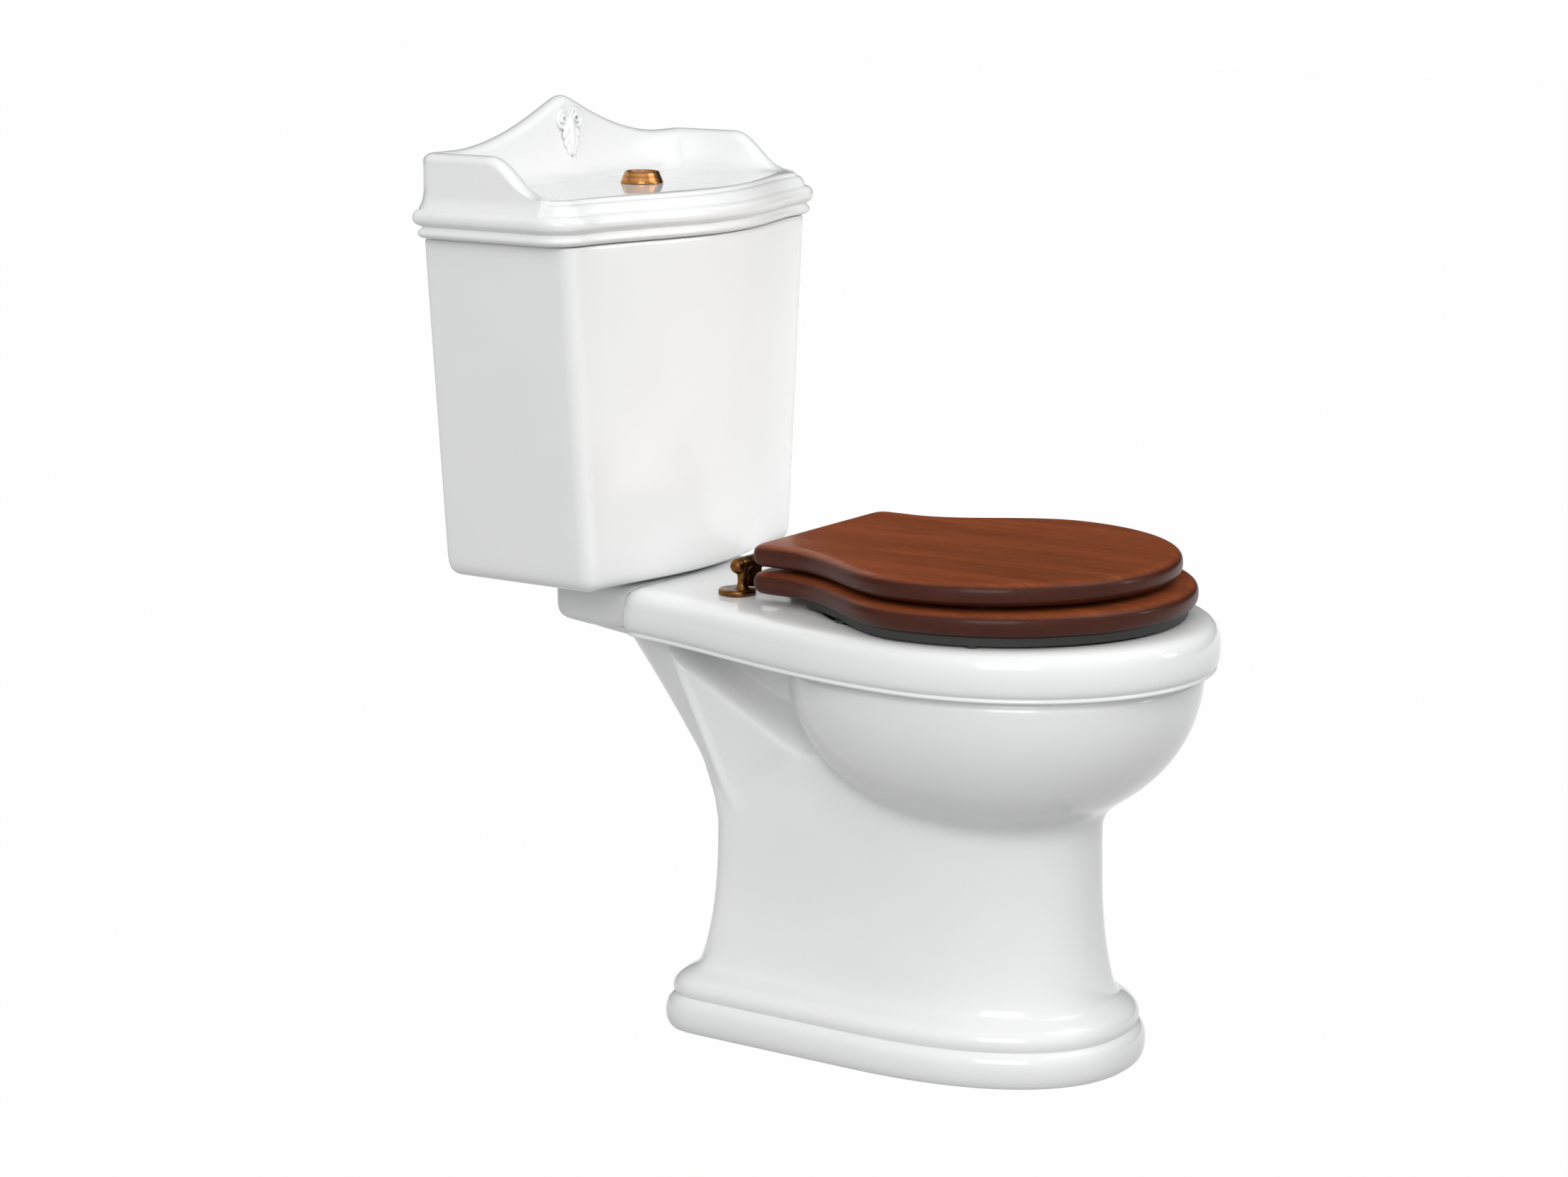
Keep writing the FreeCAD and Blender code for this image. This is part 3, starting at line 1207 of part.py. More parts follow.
def leaf_screws(name, inner, plate_at):
    """Screws up through a leaf into the wood, two for each leaf."""
    screws = []
    for side in SIDES:
        for share in (0.3, 0.75):
            x = side * (inner + s.leaf_width / 2)
            y = s.seat_back - s.leaf_length * share
            shank = cylinder(f"{name}_shank", s.screw_radius, s.screw_length, x, y, plate_at)
            head = cylinder(f"{name}_head", s.screw_head_radius, s.screw_head_height, x, y,
                            plate_at - s.screw_head_height + OVERLAP * 0.5)
            screws.append(fuse(name, shank, head))
    return screws


seat_leaves = [leaf("seat_leaf", seat_knuckle, side, seat_plate_low, seat_plate_low, hinge_height) for side in SIDES]
cover_leaves = [leaf("cover_leaf", cover_knuckle, side, cover_plate_low, hinge_height, cover_plate_low) for side in SIDES]
seat_screws = leaf_screws("seat_screw", seat_knuckle, seat_plate_low)
cover_screws = leaf_screws("cover_screw", cover_knuckle, cover_plate_low)
node("seat_ring", cut("seat_ring", ring_board, feature("ring_hole", ring_hole), *seat_screws))
node("seat_lid", cut("seat_lid", cover_board, *cover_screws))
node("seat_leaf_screws", group("seat_leaf_screws", *seat_screws))
node("lid_leaf_screws", group("lid_leaf_screws", *cover_screws))
node("seat_leaves", cut("seat_leaves", group("seat_leaf_pair", *seat_leaves), group("seat_screw_set", *seat_screws)))
node("lid_leaves", cut("lid_leaves", group("cover_leaf_pair", *cover_leaves), group("cover_screw_set", *cover_screws)))


def hinge_post(name, side):
    """A disc on the shelf, a slim neck that flares upwards, and a barrel that holds the pin."""
    x = side * s.hinge_half_spacing
    disc_top = s.rim_top + s.post_base_height
    disc = turned(f"{name}_disc", [
        (0, s.rim_top),
        (s.post_base_radius, s.rim_top),
        (s.post_base_radius, disc_top - s.post_base_height * 0.3),
        (s.post_base_radius * 0.93, disc_top),
        (0, disc_top),
    ], x, s.hinge_axis_back + s.post_offset)
    neck = turned(f"{name}_neck", [
        (0, disc_top - OVERLAP),
        (s.post_neck_radius * 1.3, disc_top - OVERLAP),
        (s.post_neck_radius, disc_top + s.hinge_axis_height * 0.25),
        (s.barrel_radius * 0.9, hinge_height),
        (0, hinge_height),
    ], x, s.hinge_axis_back)
    low_x = barrel_inner if side > 0 else -barrel_inner - s.barrel_length
    barrel = cylinder(f"{name}_barrel", s.barrel_radius, s.barrel_length, low_x, s.hinge_axis_back, hinge_height, "X")
    knob_x = barrel_inner + s.barrel_length
    knob = ball(f"{name}_knob", s.barrel_radius, side * knob_x, s.hinge_axis_back, hinge_height)
    bore_x = barrel_inner - OVERLAP if side > 0 else -barrel_inner - s.barrel_length
    bore = cylinder(f"{name}_bore", knuckle_bore, s.barrel_length + OVERLAP, bore_x,
                    s.hinge_axis_back, hinge_height, "X")
    stud_hole = cylinder(f"{name}_stud_hole", s.stud_radius + s.pin_clearance, s.post_base_height * 0.8 + OVERLAP, x,
                         s.hinge_axis_back, s.rim_top - OVERLAP)
    return cut(name, fuse(f"{name}_outside", disc, neck, barrel, knob), bore, stud_hole)


node("hinge_post_left", hinge_post("hinge_post_left", -1))
node("hinge_post_right", hinge_post("hinge_post_right", 1))
pin_length = barrel_inner + s.barrel_length - cover_knuckle + s.leaf_gap
node("hinge_pins", group("hinge_pins", *[
    cylinder("hinge_pin", s.hinge_pin_radius, pin_length,
             cover_knuckle - s.leaf_gap if side > 0 else -barrel_inner - s.barrel_length,
             s.hinge_axis_back, hinge_height, "X")
    for side in SIDES]))
stud_low = s.rim_top - s.stud_length
shelf_nut_top = rim_bottom - s.washer_thickness
stud_hole_fit = s.stud_radius + s.pin_clearance
node("hinge_studs", group("hinge_studs", *[
    cylinder("hinge_stud", s.stud_radius, s.stud_length + s.post_base_height * 0.8, side * s.hinge_half_spacing,
             s.hinge_axis_back, stud_low)
    for side in SIDES]))
node("stud_washers", group("stud_washers", *[
    tube("stud_washer", s.washer_radius, stud_hole_fit, s.washer_thickness, side * s.hinge_half_spacing,
         s.hinge_axis_back, shelf_nut_top)
    for side in SIDES]))
node("stud_wing_nuts", group("stud_wing_nuts", *[
    wing_nut("stud_wing_nut", stud_hole_fit, side * s.hinge_half_spacing, s.hinge_axis_back, shelf_nut_top)
    for side in SIDES]))


# Rubber under the wood: a strip round the ring's front, feet on the strip and buffers under the lid

def strip_shape():
    height = float(s.strip_height)
    low = float(ring_low) - height
    inset = float(s.strip_inset)
    outer = Part.Face(waisted(ring_plan, inset, low)).extrude(Vector(0, 0, height))
    inner = Part.Face(waisted(ring_plan, inset + float(s.strip_width), low - OVERLAP))
    ring = outer.cut(inner.extrude(Vector(0, 0, height + 2 * OVERLAP)))
    half, back = float(s.ring_half_width), float(s.seat_back)
    depth = back + float(s.strip_end)
    behind = Part.makeBox(2 * half, depth, 3 * height, Vector(-half, -float(s.strip_end), low - height))
    return ring.cut(behind)


node("seat_strip", feature("seat_strip", strip_shape()))


def buffer_places(plan, inset):
    """Two places on each side, by the shoulder and by the nose."""
    reach = plan.middle - plan.front
    return [(side * (waist_half_width(y, plan) - inset), y)
            for y in (plan.middle + reach * 0.45, plan.middle - reach * 0.36) for side in SIDES]


foot_low = s.rim_top + s.fit_gap
foot_height = ring_low - s.strip_height - foot_low
strip_centre = float(s.strip_inset + s.strip_width / 2)
node("seat_feet", group("seat_feet", *[
    cylinder("seat_foot", s.buffer_radius, foot_height, x, y, foot_low)
    for x, y in buffer_places(ring_plan, strip_centre)]))
node("lid_buffers", group("lid_buffers", *[
    cylinder("lid_buffer", s.buffer_radius, s.lid_gap - s.fit_gap, x, y, ring_top + s.fit_gap)
    for x, y in buffer_places(cover_plan, strip_centre * 2)]))

doc.recompute()

for obj in doc.Objects:
    if "Invalid" in obj.State or "Error" in obj.State:
        raise RuntimeError(f"{obj.Name} did not build: {obj.State}")
for obj in nodes:
    if obj.Shape.isNull() or not obj.Shape.isValid() or not obj.Shape.Solids:
        raise RuntimeError(f"{obj.Label} has no valid solid")

os.makedirs("parts", exist_ok=True)
for obj in nodes:
    obj.Shape.exportStep(f"parts/{obj.Label}.step")
    print(obj.Label, len(obj.Shape.Solids), round(obj.Shape.Volume / 1000, 1), "cm3")
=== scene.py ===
import math

import bpy
import numpy as np
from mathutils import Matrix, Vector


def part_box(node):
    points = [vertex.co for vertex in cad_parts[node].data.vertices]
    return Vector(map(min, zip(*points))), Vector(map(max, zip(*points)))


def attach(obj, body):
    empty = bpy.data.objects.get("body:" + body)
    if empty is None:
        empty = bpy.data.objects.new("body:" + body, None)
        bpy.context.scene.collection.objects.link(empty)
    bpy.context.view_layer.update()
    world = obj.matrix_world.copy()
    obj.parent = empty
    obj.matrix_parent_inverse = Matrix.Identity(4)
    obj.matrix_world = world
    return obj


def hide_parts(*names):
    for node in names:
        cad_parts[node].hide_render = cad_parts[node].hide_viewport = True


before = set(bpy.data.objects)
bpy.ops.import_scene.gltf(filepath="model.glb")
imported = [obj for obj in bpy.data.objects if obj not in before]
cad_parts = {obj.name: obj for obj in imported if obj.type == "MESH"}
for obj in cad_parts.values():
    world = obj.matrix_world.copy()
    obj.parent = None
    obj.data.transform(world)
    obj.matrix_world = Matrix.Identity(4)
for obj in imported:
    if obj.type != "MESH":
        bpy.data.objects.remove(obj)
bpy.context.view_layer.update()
bpy.ops.object.select_all(action="DESELECT")

# Pan: foot, column, neck, bowl and rim, slip-cast in vitreous china, stuck together while wet, glazed white
# and fired as one. It stands on the floor on a moulded foot, and the bowl hangs in front of the column like
# an egg in its cup. Sizes are in millimetres, here and below, apart from those marked as metres.

SPOKES = 176  # points in each ring round the pan
RIM = dict(front=-400.0, middle=-188.0, belly=190.0, neck=122.0, back=165.0, corner=15.0, run=0.0, sweep=1.5)
RIM_TOP = 424.0
OPENING_SIDE, OPENING_LENGTH, OPENING_POWER = 140.0, 160.0, 2.2  # half sizes of the opening, and squareness
BOWL_TOP = 379.0  # level at which the bowl is widest
SUMP = 18.0  # how far the bowl's sump lies in front of its middle
COLUMN_SIDE, COLUMN_WAIST = 99.0, 205.0  # half width of the column at its narrowest place, and that height
NOSE_START, NOSE_LENGTH = -108.5, 183.5  # the column's round front


def linear(colour):
    """An sRGB hex colour as the linear RGBA that a shader reads."""
    shares = [int(colour[place:place + 2], 16) / 255 for place in (1, 3, 5)]
    levels = [share / 12.92 if share <= 0.04045 else ((share + 0.055) / 1.055) ** 2.4 for share in shares]
    return (*levels, 1.0)


def add_node(tree, kind, sockets=None, **settings):
    """Adds a node, sets its properties and gives each socket, by name or number, a value or a link.

    Map Range takes a value as 0, the range it comes from as 1 and 2, and the range it goes to as 3 and 4.
    Mix takes its share as 0, and numbers as 2 and 3 or colours as 6 and 7. Output 2 is the mixed colour."""
    node = tree.nodes.new(kind)
    for name, value in settings.items():
        setattr(node, name, value)
    for socket, value in (sockets or {}).items():
        if isinstance(value, bpy.types.NodeSocket):
            tree.links.new(value, node.inputs[socket])
        else:
            node.inputs[socket].default_value = value
    return node


def new_finish(name):
    """An empty finish: its material, node tree, shader and the object coordinates that its patterns read."""
    material = bpy.data.materials.new(name)
    material.use_nodes = True
    tree = material.node_tree
    coordinates = add_node(tree, "ShaderNodeTexCoord")
    return material, tree, tree.nodes["Principled BSDF"], coordinates.outputs["Object"]


def smooth_step(share):
    """An even passage from 0 to 1, level at both ends."""
    share = np.clip(share, 0.0, 1.0)
    return share * share * (3 - 2 * share)


def spaced(points, count):
    """A closed outline's points laid again along it from its first point, crowded above the neck's sides."""
    crowd_place, crowd_reach, crowd_ease, crowd_more = 0.145, 0.07, 0.02, 1.6
    closed = np.vstack([points, points[:1]])
    along = np.concatenate([[0.0], np.cumsum(np.linalg.norm(np.diff(closed, axis=0), axis=1))])
    shares = np.linspace(0, 1, 2001)
    from_place = np.abs(np.minimum(shares, 1 - shares) - crowd_place)
    crowd = 1 + crowd_more * smooth_step((crowd_reach - from_place) / crowd_ease)
    passed = np.concatenate([[0.0], np.cumsum(crowd[1:] + crowd[:-1])])
    wanted = np.interp(np.arange(count) / count, passed / passed[-1], shares) * along[-1]
    return np.column_stack([np.interp(wanted, along, closed[:, axis]) for axis in (0, 1)])


def waisted_outline(plan, inset, count):
    """A rim or a seat board from above: straight back, rounded corners, a long S and an oval nose."""
    neck, belly = plan["neck"] - inset, plan["belly"] - inset
    back, front = plan["back"] - inset, plan["front"] + inset
    middle, corner = plan["middle"], max(4.0, plan["corner"] - inset * 0.5)
    right = [(x, back) for x in np.linspace(0.0, neck - corner, 12, endpoint=False)]
    for turn in np.linspace(0.0, math.pi / 2, 10, endpoint=False):
        right.append((neck - corner + corner * math.sin(turn), back - corner + corner * math.cos(turn)))
    for y in np.linspace(back - corner, middle, 90, endpoint=False):
        share = min(1.0, max(0.0, (back - plan["run"] - y) / (back - plan["run"] - middle)))
        right.append((neck + (belly - neck) * math.sin(share * math.pi / 2) ** plan["sweep"], y))
    for turn in np.linspace(0.0, math.pi / 2, 90, endpoint=False):
        right.append((belly * math.cos(turn), middle - (middle - front) * math.sin(turn)))
    left = [(-x, y) for x, y in reversed(right[1:])]
    return spaced(np.array(right + [(0.0, front)] + left), count)


def at_height(outline, height):
    """A flat outline lifted to a height."""
    return np.column_stack([outline, np.full(len(outline), float(height))])


def skin(name, rings):
    """A closed piece through a stack of outlines: a grid with one row laid on each of them.

    Its seam is welded, it is subdivided once, and the holes at its ends are filled."""
    count = len(rings[0])
    bpy.ops.mesh.primitive_grid_add(x_subdivisions=count, y_subdivisions=len(rings) - 1, size=0.1)
    piece = bpy.context.object
    piece.name = piece.data.name = name
    rows = np.array([np.vstack([ring, ring[:1]]) for ring in rings]) / 1000
    piece.data.vertices.foreach_set("co", rows.ravel())
    bpy.ops.object.mode_set(mode="EDIT")
    bpy.ops.mesh.select_all(action="SELECT")
    bpy.ops.mesh.remove_doubles(threshold=1e-6)
    bpy.ops.object.mode_set(mode="OBJECT")
    rounding = piece.modifiers.new("rounding", "SUBSURF")
    rounding.levels = rounding.render_levels = 1
    bpy.ops.object.modifier_apply(modifier=rounding.name)
    bpy.ops.object.mode_set(mode="EDIT")
    bpy.ops.mesh.select_all(action="SELECT")
    bpy.ops.mesh.fill_holes(sides=0)
    bpy.ops.mesh.select_all(action="SELECT")
    bpy.ops.mesh.normals_make_consistent(inside=False)
    bpy.ops.object.mode_set(mode="OBJECT")
    bpy.ops.object.shade_smooth()
    piece.select_set(False)
    return piece


def work(body, other, operation):
    """Adds a solid to a body or cuts it away, and takes it out of the scene."""
    bpy.context.view_layer.objects.active = body
    step = body.modifiers.new("step", "BOOLEAN")
    step.object, step.operation, step.solver = other, operation, "MANIFOLD"
    bpy.ops.object.modifier_apply(modifier=step.name)
    bpy.data.objects.remove(other)


def unite(name, body, *others):
    """Makes one closed mesh of pieces that are made as one."""
    for other in others:
        work(body, other, "UNION")
    body.name = body.data.name = name
    return body


def rod(radius, low, high):
    """A round bar between two points, upright or along Y, to add or to drill with."""
    middle = [(start + end) / 2000 for start, end in zip(low, high)]
    upright = low[2] != high[2]
    bpy.ops.mesh.primitive_cylinder_add(
        vertices=64, radius=radius / 1000, depth=math.dist(low, high) / 1000, location=middle,
        rotation=(0 if upright else math.pi / 2, 0, 0))
    bpy.context.object.select_set(False)
    return bpy.context.object


def shade_up_to(piece, degrees):
    """Shades a piece smooth, apart from the edges that turn by more than an angle."""
    piece.select_set(True)
    bpy.ops.object.shade_smooth_by_angle(angle=math.radians(degrees))
    piece.select_set(False)


def finish_with(piece, material, body, slot, *nodes):
    """Gives a piece its finish, hangs it on its body and lets it stand for its solids."""
    piece.data.materials.clear()
    piece.data.materials.append(material)
    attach(piece, body)
    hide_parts(*nodes)


# Vitreous china under an opaque white glaze: near white and glassy. The glaze pools in patches 120 mm
# across, lies in faint waves 35 mm long and has an orange peel of 4 mm.
glazed_china, tree, shader, places = new_finish("glazed_vitreous_china")
pooling = add_node(tree, "ShaderNodeTexNoise", {"Vector": places, "Scale": 8.0, "Detail": 2.0})
body_tint = add_node(tree, "ShaderNodeMix", {
    0: pooling.outputs[0], 6: linear("#f2f3f2"), 7: linear("#ebecec")}, data_type="RGBA")
waves = add_node(tree, "ShaderNodeTexNoise", {"Vector": places, "Scale": 28.0, "Detail": 1.0})
peel = add_node(tree, "ShaderNodeTexNoise", {"Vector": places, "Scale": 260.0, "Detail": 0.0})
wave_bump = add_node(tree, "ShaderNodeBump", {
    "Height": waves.outputs[0], "Strength": 0.25, "Distance": 0.0006})
peel_bump = add_node(tree, "ShaderNodeBump", {
    "Height": peel.outputs[0], "Strength": 0.1, "Distance": 0.0001, "Normal": wave_bump.outputs[0]})
gloss = add_node(tree, "ShaderNodeMapRange", {0: pooling.outputs[0], 3: 0.08, 4: 0.14})
tree.links.new(body_tint.outputs[2], shader.inputs["Base Color"])
tree.links.new(gloss.outputs[0], shader.inputs["Roughness"])
tree.links.new(peel_bump.outputs[0], shader.inputs["Normal"])
shader.inputs["IOR"].default_value = 1.52

# The spokes that the pan's rings are measured along: each has a side, a root on the middle line and a turn
pan_middle = (0.0, -110.0)
root_back = 90.0
crease_turn = 1.32  # about that of the spoke which is laid on the neck's crease
crease_turns = (1.283, 1.323, 1.363)  # that spoke as it is laid, between its neighbours
rim_edge = waisted_outline(RIM, 0.0, SPOKES)
spoke_side = np.where(np.arange(SPOKES) <= SPOKES // 2, 1.0, -1.0)
spoke_root = np.clip(rim_edge[:, 1], pan_middle[1], root_back)
spoke_turn = np.arctan2(np.abs(rim_edge[:, 0]), rim_edge[:, 1] - spoke_root)
at_crease = int(np.argmin(np.abs(spoke_turn[:SPOKES // 2] - crease_turn)))
spoke_turn = np.interp(spoke_turn, [0, *spoke_turn[at_crease - 1:at_crease + 2], math.pi / 2, math.pi],
                       [0, *crease_turns, math.pi / 2, math.pi])
bowl_turn = np.arctan2(rim_edge[:, 1] - RIM["middle"], rim_edge[:, 0])


def oval(half_x, half_y, centre_y, power=2.0, turns=bowl_turn):
    """A ring of points round the bowl, one on each spoke."""
    across, along = np.cos(turns), np.sin(turns)
    reach = (np.abs(across / half_x) ** power + np.abs(along / half_y) ** power) ** (-1 / power)
    return np.column_stack([across * reach, centre_y + along * reach])


def foot_reach(height):
    """How far the foot stands out from the column: a plain bead, a groove, an ogee and a long flare."""
    profile = [(0, 38.5), (3, 40.8), (9, 42.6), (16, 43), (24, 42.4), (29, 40.6), (32, 37.2), (33.2, 34.6),
               (34.4, 34.6), (36, 36.2), (41, 37), (46, 36), (51, 32.2), (55, 26.5), (58, 21), (61, 17),
               (66, 14.6), (76, 11.4), (90, 8.4), (110, 5), (135, 2.4), (160, 0.9), (COLUMN_WAIST, 0)]
    return np.interp(height, *zip(*profile))


def neck_crease(height):
    """How far back the crease is that parts the neck's side from its rear, and the rear's depth behind it."""
    places_back = [(205, 38), (226, 48), (251, 62), (362, 117)]
    depths = [(205, 36), (226, 31), (257, 34), (288, 54), (320, 77), (355, 105), (376, 114)]
    return float(np.interp(height, *zip(*places_back))), float(np.interp(height, *zip(*depths)))


def column_distance(x, y, height):
    """Signed distance to the column and the neck above it, with the hollow under each side of the shelf.

    The hollow ends below in a slanting fold and behind at the crease. A shallow valley crosses the side."""
    rear_taper, hollow_depth, dent_depth, valley_depth, least_side = 0.6, 46, 3.0, 2.2, 30
    fold_height, fold_slope, fold_front = 294, 0.52, -29
    nose_power, tail_power = 2.3, 5
    reach = foot_reach(height)
    crease, depth = neck_crease(height)
    depth += reach
    above = height - COLUMN_WAIST
    side = COLUMN_SIDE + reach - rear_taper * smooth_step(above / 65) * np.maximum(0, y - crease)
    if above > 0:
        fold = height - (fold_height + np.maximum(y, fold_front) * fold_slope)
        on_side, to_crease = smooth_step((y + 100) / 60), crease - 3 - y
        lean = np.clip((fold - 14) * 0.75, 0, 34) * smooth_step((y - 5) / 40)
        hollow = (hollow_depth - lean) * (0.5 + 0.5 * np.tanh((fold - 10) / 5))
        hollow = hollow * smooth_step(to_crease / 12) * on_side
        dent = dent_depth * smooth_step(above / 60) * smooth_step((crease - 1 - y) / 7) * on_side
        valley = valley_depth * np.exp(-((height - 262 + 0.757 * y) / 1.254 / 9) ** 2)
        valley = valley * smooth_step((y + 60) / 40)
        side = np.maximum(side - hollow - dent - valley * smooth_step(to_crease / 20), least_side)
    across = np.abs(x) / side
    ahead, behind = np.maximum(0, NOSE_START - y) / (NOSE_LENGTH + reach), np.maximum(0, y - crease) / depth
    nose = (across ** nose_power + ahead ** nose_power) ** (1 / nose_power)
    tail = (across ** tail_power + behind ** tail_power) ** (1 / tail_power)
    return (np.where(y < NOSE_START, nose, tail) - 1) * COLUMN_SIDE


def bowl_distance(x, y, height):
    """Signed distance to the egg-shaped outside of the bowl, drawn in under the rim."""
    half_width, rear, front, depth = 176.0, 200.0, 193.0, 158.0
    power, slope_power = 2.2, 1.2
    sizes = (half_width, np.where(y > RIM["middle"], rear, front), depth)
    offsets = (np.abs(x), np.abs(y - RIM["middle"]), np.full(x.shape, abs(height - BOWL_TOP)))
    shares = [offset / size for offset, size in zip(offsets, sizes)]
    near = np.maximum(sum(share ** power for share in shares) ** (1 / power), 1e-3)
    slope = np.sqrt(sum((share ** slope_power / size) ** 2 for share, size in zip(shares, sizes)))
    slope = slope * near ** -slope_power
    return (near - 1) / np.maximum(slope, 1e-4) + 3 * smooth_step((height - 369) / 5)


def pan_section(height):
    """The outside of the pan at a height: column and bowl run into each other with a small fillet.

    The spokes stand square on the sides and fan out at both ends. One on each side follows the crease."""
    longest_spoke, crease_lead = 460.0, 25
    least_fillet, wider_fillet, wider_below = 4.0, 10.0, 270
    steps = np.arange(0.0, longest_spoke, 1.0)
    crease, _ = neck_crease(height)
    middle = pan_middle[1]
    root = middle + (spoke_root - middle) * (crease - crease_lead - middle) / (root_back - middle)
    across, along = spoke_side * np.sin(spoke_turn), np.cos(spoke_turn)
    x, y = across[:, None] * steps, root[:, None] + along[:, None] * steps
    column, bowl = column_distance(x, y, height), bowl_distance(x, y, height)
    fillet = least_fillet + wider_fillet * smooth_step((wider_below - height) / 40)
    mix = np.maximum(fillet - np.abs(column - bowl), 0) / fillet
    field = np.minimum(column, bowl) - mix * mix * fillet / 4
    outside = field > 0
    outside[:, -1] = True
    first = np.maximum(1, outside.argmax(axis=1))
    rows = np.arange(len(first))
    low, high = field[rows, first - 1], field[rows, first]
    reach = steps[first - 1] + np.clip(low / np.minimum(low - high, -1e-6), 0, 1)
    return np.column_stack([across * reach, root + along * reach])


# From the sump up the bowl's inside, over the rim, down the outside and into the hollow under the foot
sump_rings = ((1, 168), (15, 168), (31, 168.5), (34, 172), (34.5, 210))
pan_rings = [at_height(oval(radius, radius, RIM["middle"] - SUMP), z) for radius, z in sump_rings]
inside_side, inside_length, inside_depth = 163, 180, 139
for degrees in (14, 17, 22, 30, 38, 46, 54, 62, 70, 77, 83, 87):
    out, down = math.sin(math.radians(degrees)), math.cos(math.radians(degrees))
    ring = oval(inside_side * out, inside_length * out, RIM["middle"] - SUMP * down ** 3)
    pan_rings.append(at_height(ring, BOWL_TOP - inside_depth * down))
for grow, z in ((20, 378), (9, 379.4), (3, 380.6), (0.6, 382.6), (0, 386), (0, 400), (0.5, 411), (2, 418),
                (5, 422), (10, 423.8)):
    ring = oval(OPENING_SIDE + grow, OPENING_LENGTH + grow, RIM["middle"], OPENING_POWER)
    pan_rings.append(at_height(ring, z))
lip = oval(OPENING_SIDE + 10, OPENING_LENGTH + 10, RIM["middle"], OPENING_POWER)
edge = waisted_outline(RIM, 26.0, SPOKES)
for share in (0.15, 0.5, 0.85):
    pan_rings.append(at_height(lip * (1 - share) + edge * share, RIM_TOP))
for inset, z in ((26, RIM_TOP), (18, 423.8), (12, 422.8), (7.5, 420.6), (4, 417), (1.6, 411.5), (0.3, 404),
                 (0, 396), (0.5, 389), (1.6, 385), (3.4, 383.2), (4.2, 382.2), (3.2, 381.3), (2.6, 379.9),
                 (3.4, 378.5), (6, 377.8), (9, 377.6)):
    pan_rings.append(at_height(waisted_outline(RIM, inset, SPOKES), z))
for z in (376.6, 375, 373, *np.arange(370, 282, -3.6), *np.arange(282, 212, -8.0), 210,
          *np.arange(203, 90, -10.0), 84, 76, 70, 66, 63, 60.5, 58, 55, 51, 46, 41, 37.5, 35.4, 34.2, 33.4,
          32.4, 30.6, 27, 22, 16, 9, 4, 1.2, 0.2):
    pan_rings.append(at_height(pan_section(z), z))
foot_edge = pan_section(0.2) - pan_middle
for share, z in ((0.97, 0.0), (0.9, 0.0), (0.885, 1.5), (0.88, 10), (0.875, 40), (0.86, 46), (0.7, 47),
                 (0.4, 47), (0.05, 47)):
    pan_rings.append(at_height(foot_edge * share + pan_middle, z))
pan_skin = skin("pan_skin", pan_rings)

# Horn of the pan: the flat arm behind the shelf that carries the cistern, cast with the pan and run into
# the shelf with a flare. Two pockets under it take the nuts of the cistern's bolts. The outlet socket, cast
# in the hollow of the foot, is cut here too, when the pan is whole.

FLUSH_AXIS = 218.0  # from the outlet back to the flush valve and the push button
BOLT_OFFSET = 66.0  # from the middle to the cistern's bolts
pocket_radius, pocket_roof = 18, 411
boss_radius, socket_radius, socket_depth = 60, 52, 40


def arm(name, sections):
    """A bar along Y through rounded sections: place, half width, underside, top and squareness of each."""
    count = 64
    turn = np.arange(count) * math.tau / count
    rings = []
    for y, half, low, high, square in sections:
        round_x = np.sign(np.cos(turn)) * np.abs(np.cos(turn)) ** square
        round_z = np.sign(np.sin(turn)) * np.abs(np.sin(turn)) ** square
        z = (low + high) / 2 + (high - low) / 2 * round_z
        rings.append(np.column_stack([half * round_x, np.full(count, float(y)), z]))
    return skin(name, rings)


horn_beam = arm("horn_beam", [
    (100, 80, 372, 420, 0.3), (140, 87, 364, 423.4, 0.3), (165, 88, 365, 423.5, 0.3),
    (192, 88, 368, 423.5, 0.3), (236, 88, 373, 423.5, 0.3), (250, 88, 374.2, 423.5, 0.3),
    (257, 87.2, 375.4, 423.4, 0.31), (262, 85.2, 377.6, 423, 0.33), (265.8, 81.6, 381.4, 421.8, 0.36),
    (267.6, 76, 387, 419.5, 0.4), (268, 68, 393, 416, 0.5), (268, 20, 402, 408, 0.6)])
horn_flare = arm("horn_flare", [
    (120, 100, 386, 420, 0.3), (140, 117, 385, 423.3, 0.3), (152, 113, 383.5, 423.3, 0.3),
    (163, 106.5, 381, 423.2, 0.3), (175, 100.5, 378, 423.2, 0.3), (190, 95, 374.6, 423.1, 0.3),
    (208, 91.2, 372, 423, 0.3), (225, 89, 372.6, 423, 0.3), (240, 88.1, 373.6, 422.6, 0.3),
    (250, 85, 380, 420, 0.3), (251, 20, 395, 410, 0.5)])

pan = unite("pan_casting", pan_skin, horn_beam, horn_flare, rod(boss_radius, (0, 0, 2), (0, 0, 60)))
work(pan, rod(socket_radius, (0, 0, -5), (0, 0, socket_depth)), "DIFFERENCE")
for x in (-BOLT_OFFSET, BOLT_OFFSET):
    work(pan, rod(pocket_radius, (x, FLUSH_AXIS, 350), (x, FLUSH_AXIS, pocket_roof)), "DIFFERENCE")
shade_up_to(pan, 50)
finish_with(pan, glazed_china, "pan_and_cistern", "ceramic", "pan_foot", "pan_bowl", "pan_rim")

# Cistern tank: an open box of the same china, slip-cast upside down and drained, wider at the top than at
# the foot. Two bolts hold it down on the horn, two holes high in its back take screws to the wall, and its
# front bulges in a slow double curve.

TANK = dict(low=426.0, high=757.0, half_low=172.0, half_high=199.0, bow_low=20.0, bow_high=38.0, back=330.0,
            front=155.0, corner=16.0)
wall_hole_radius, wall_hole_offset, wall_hole_height = 4, 90, 697


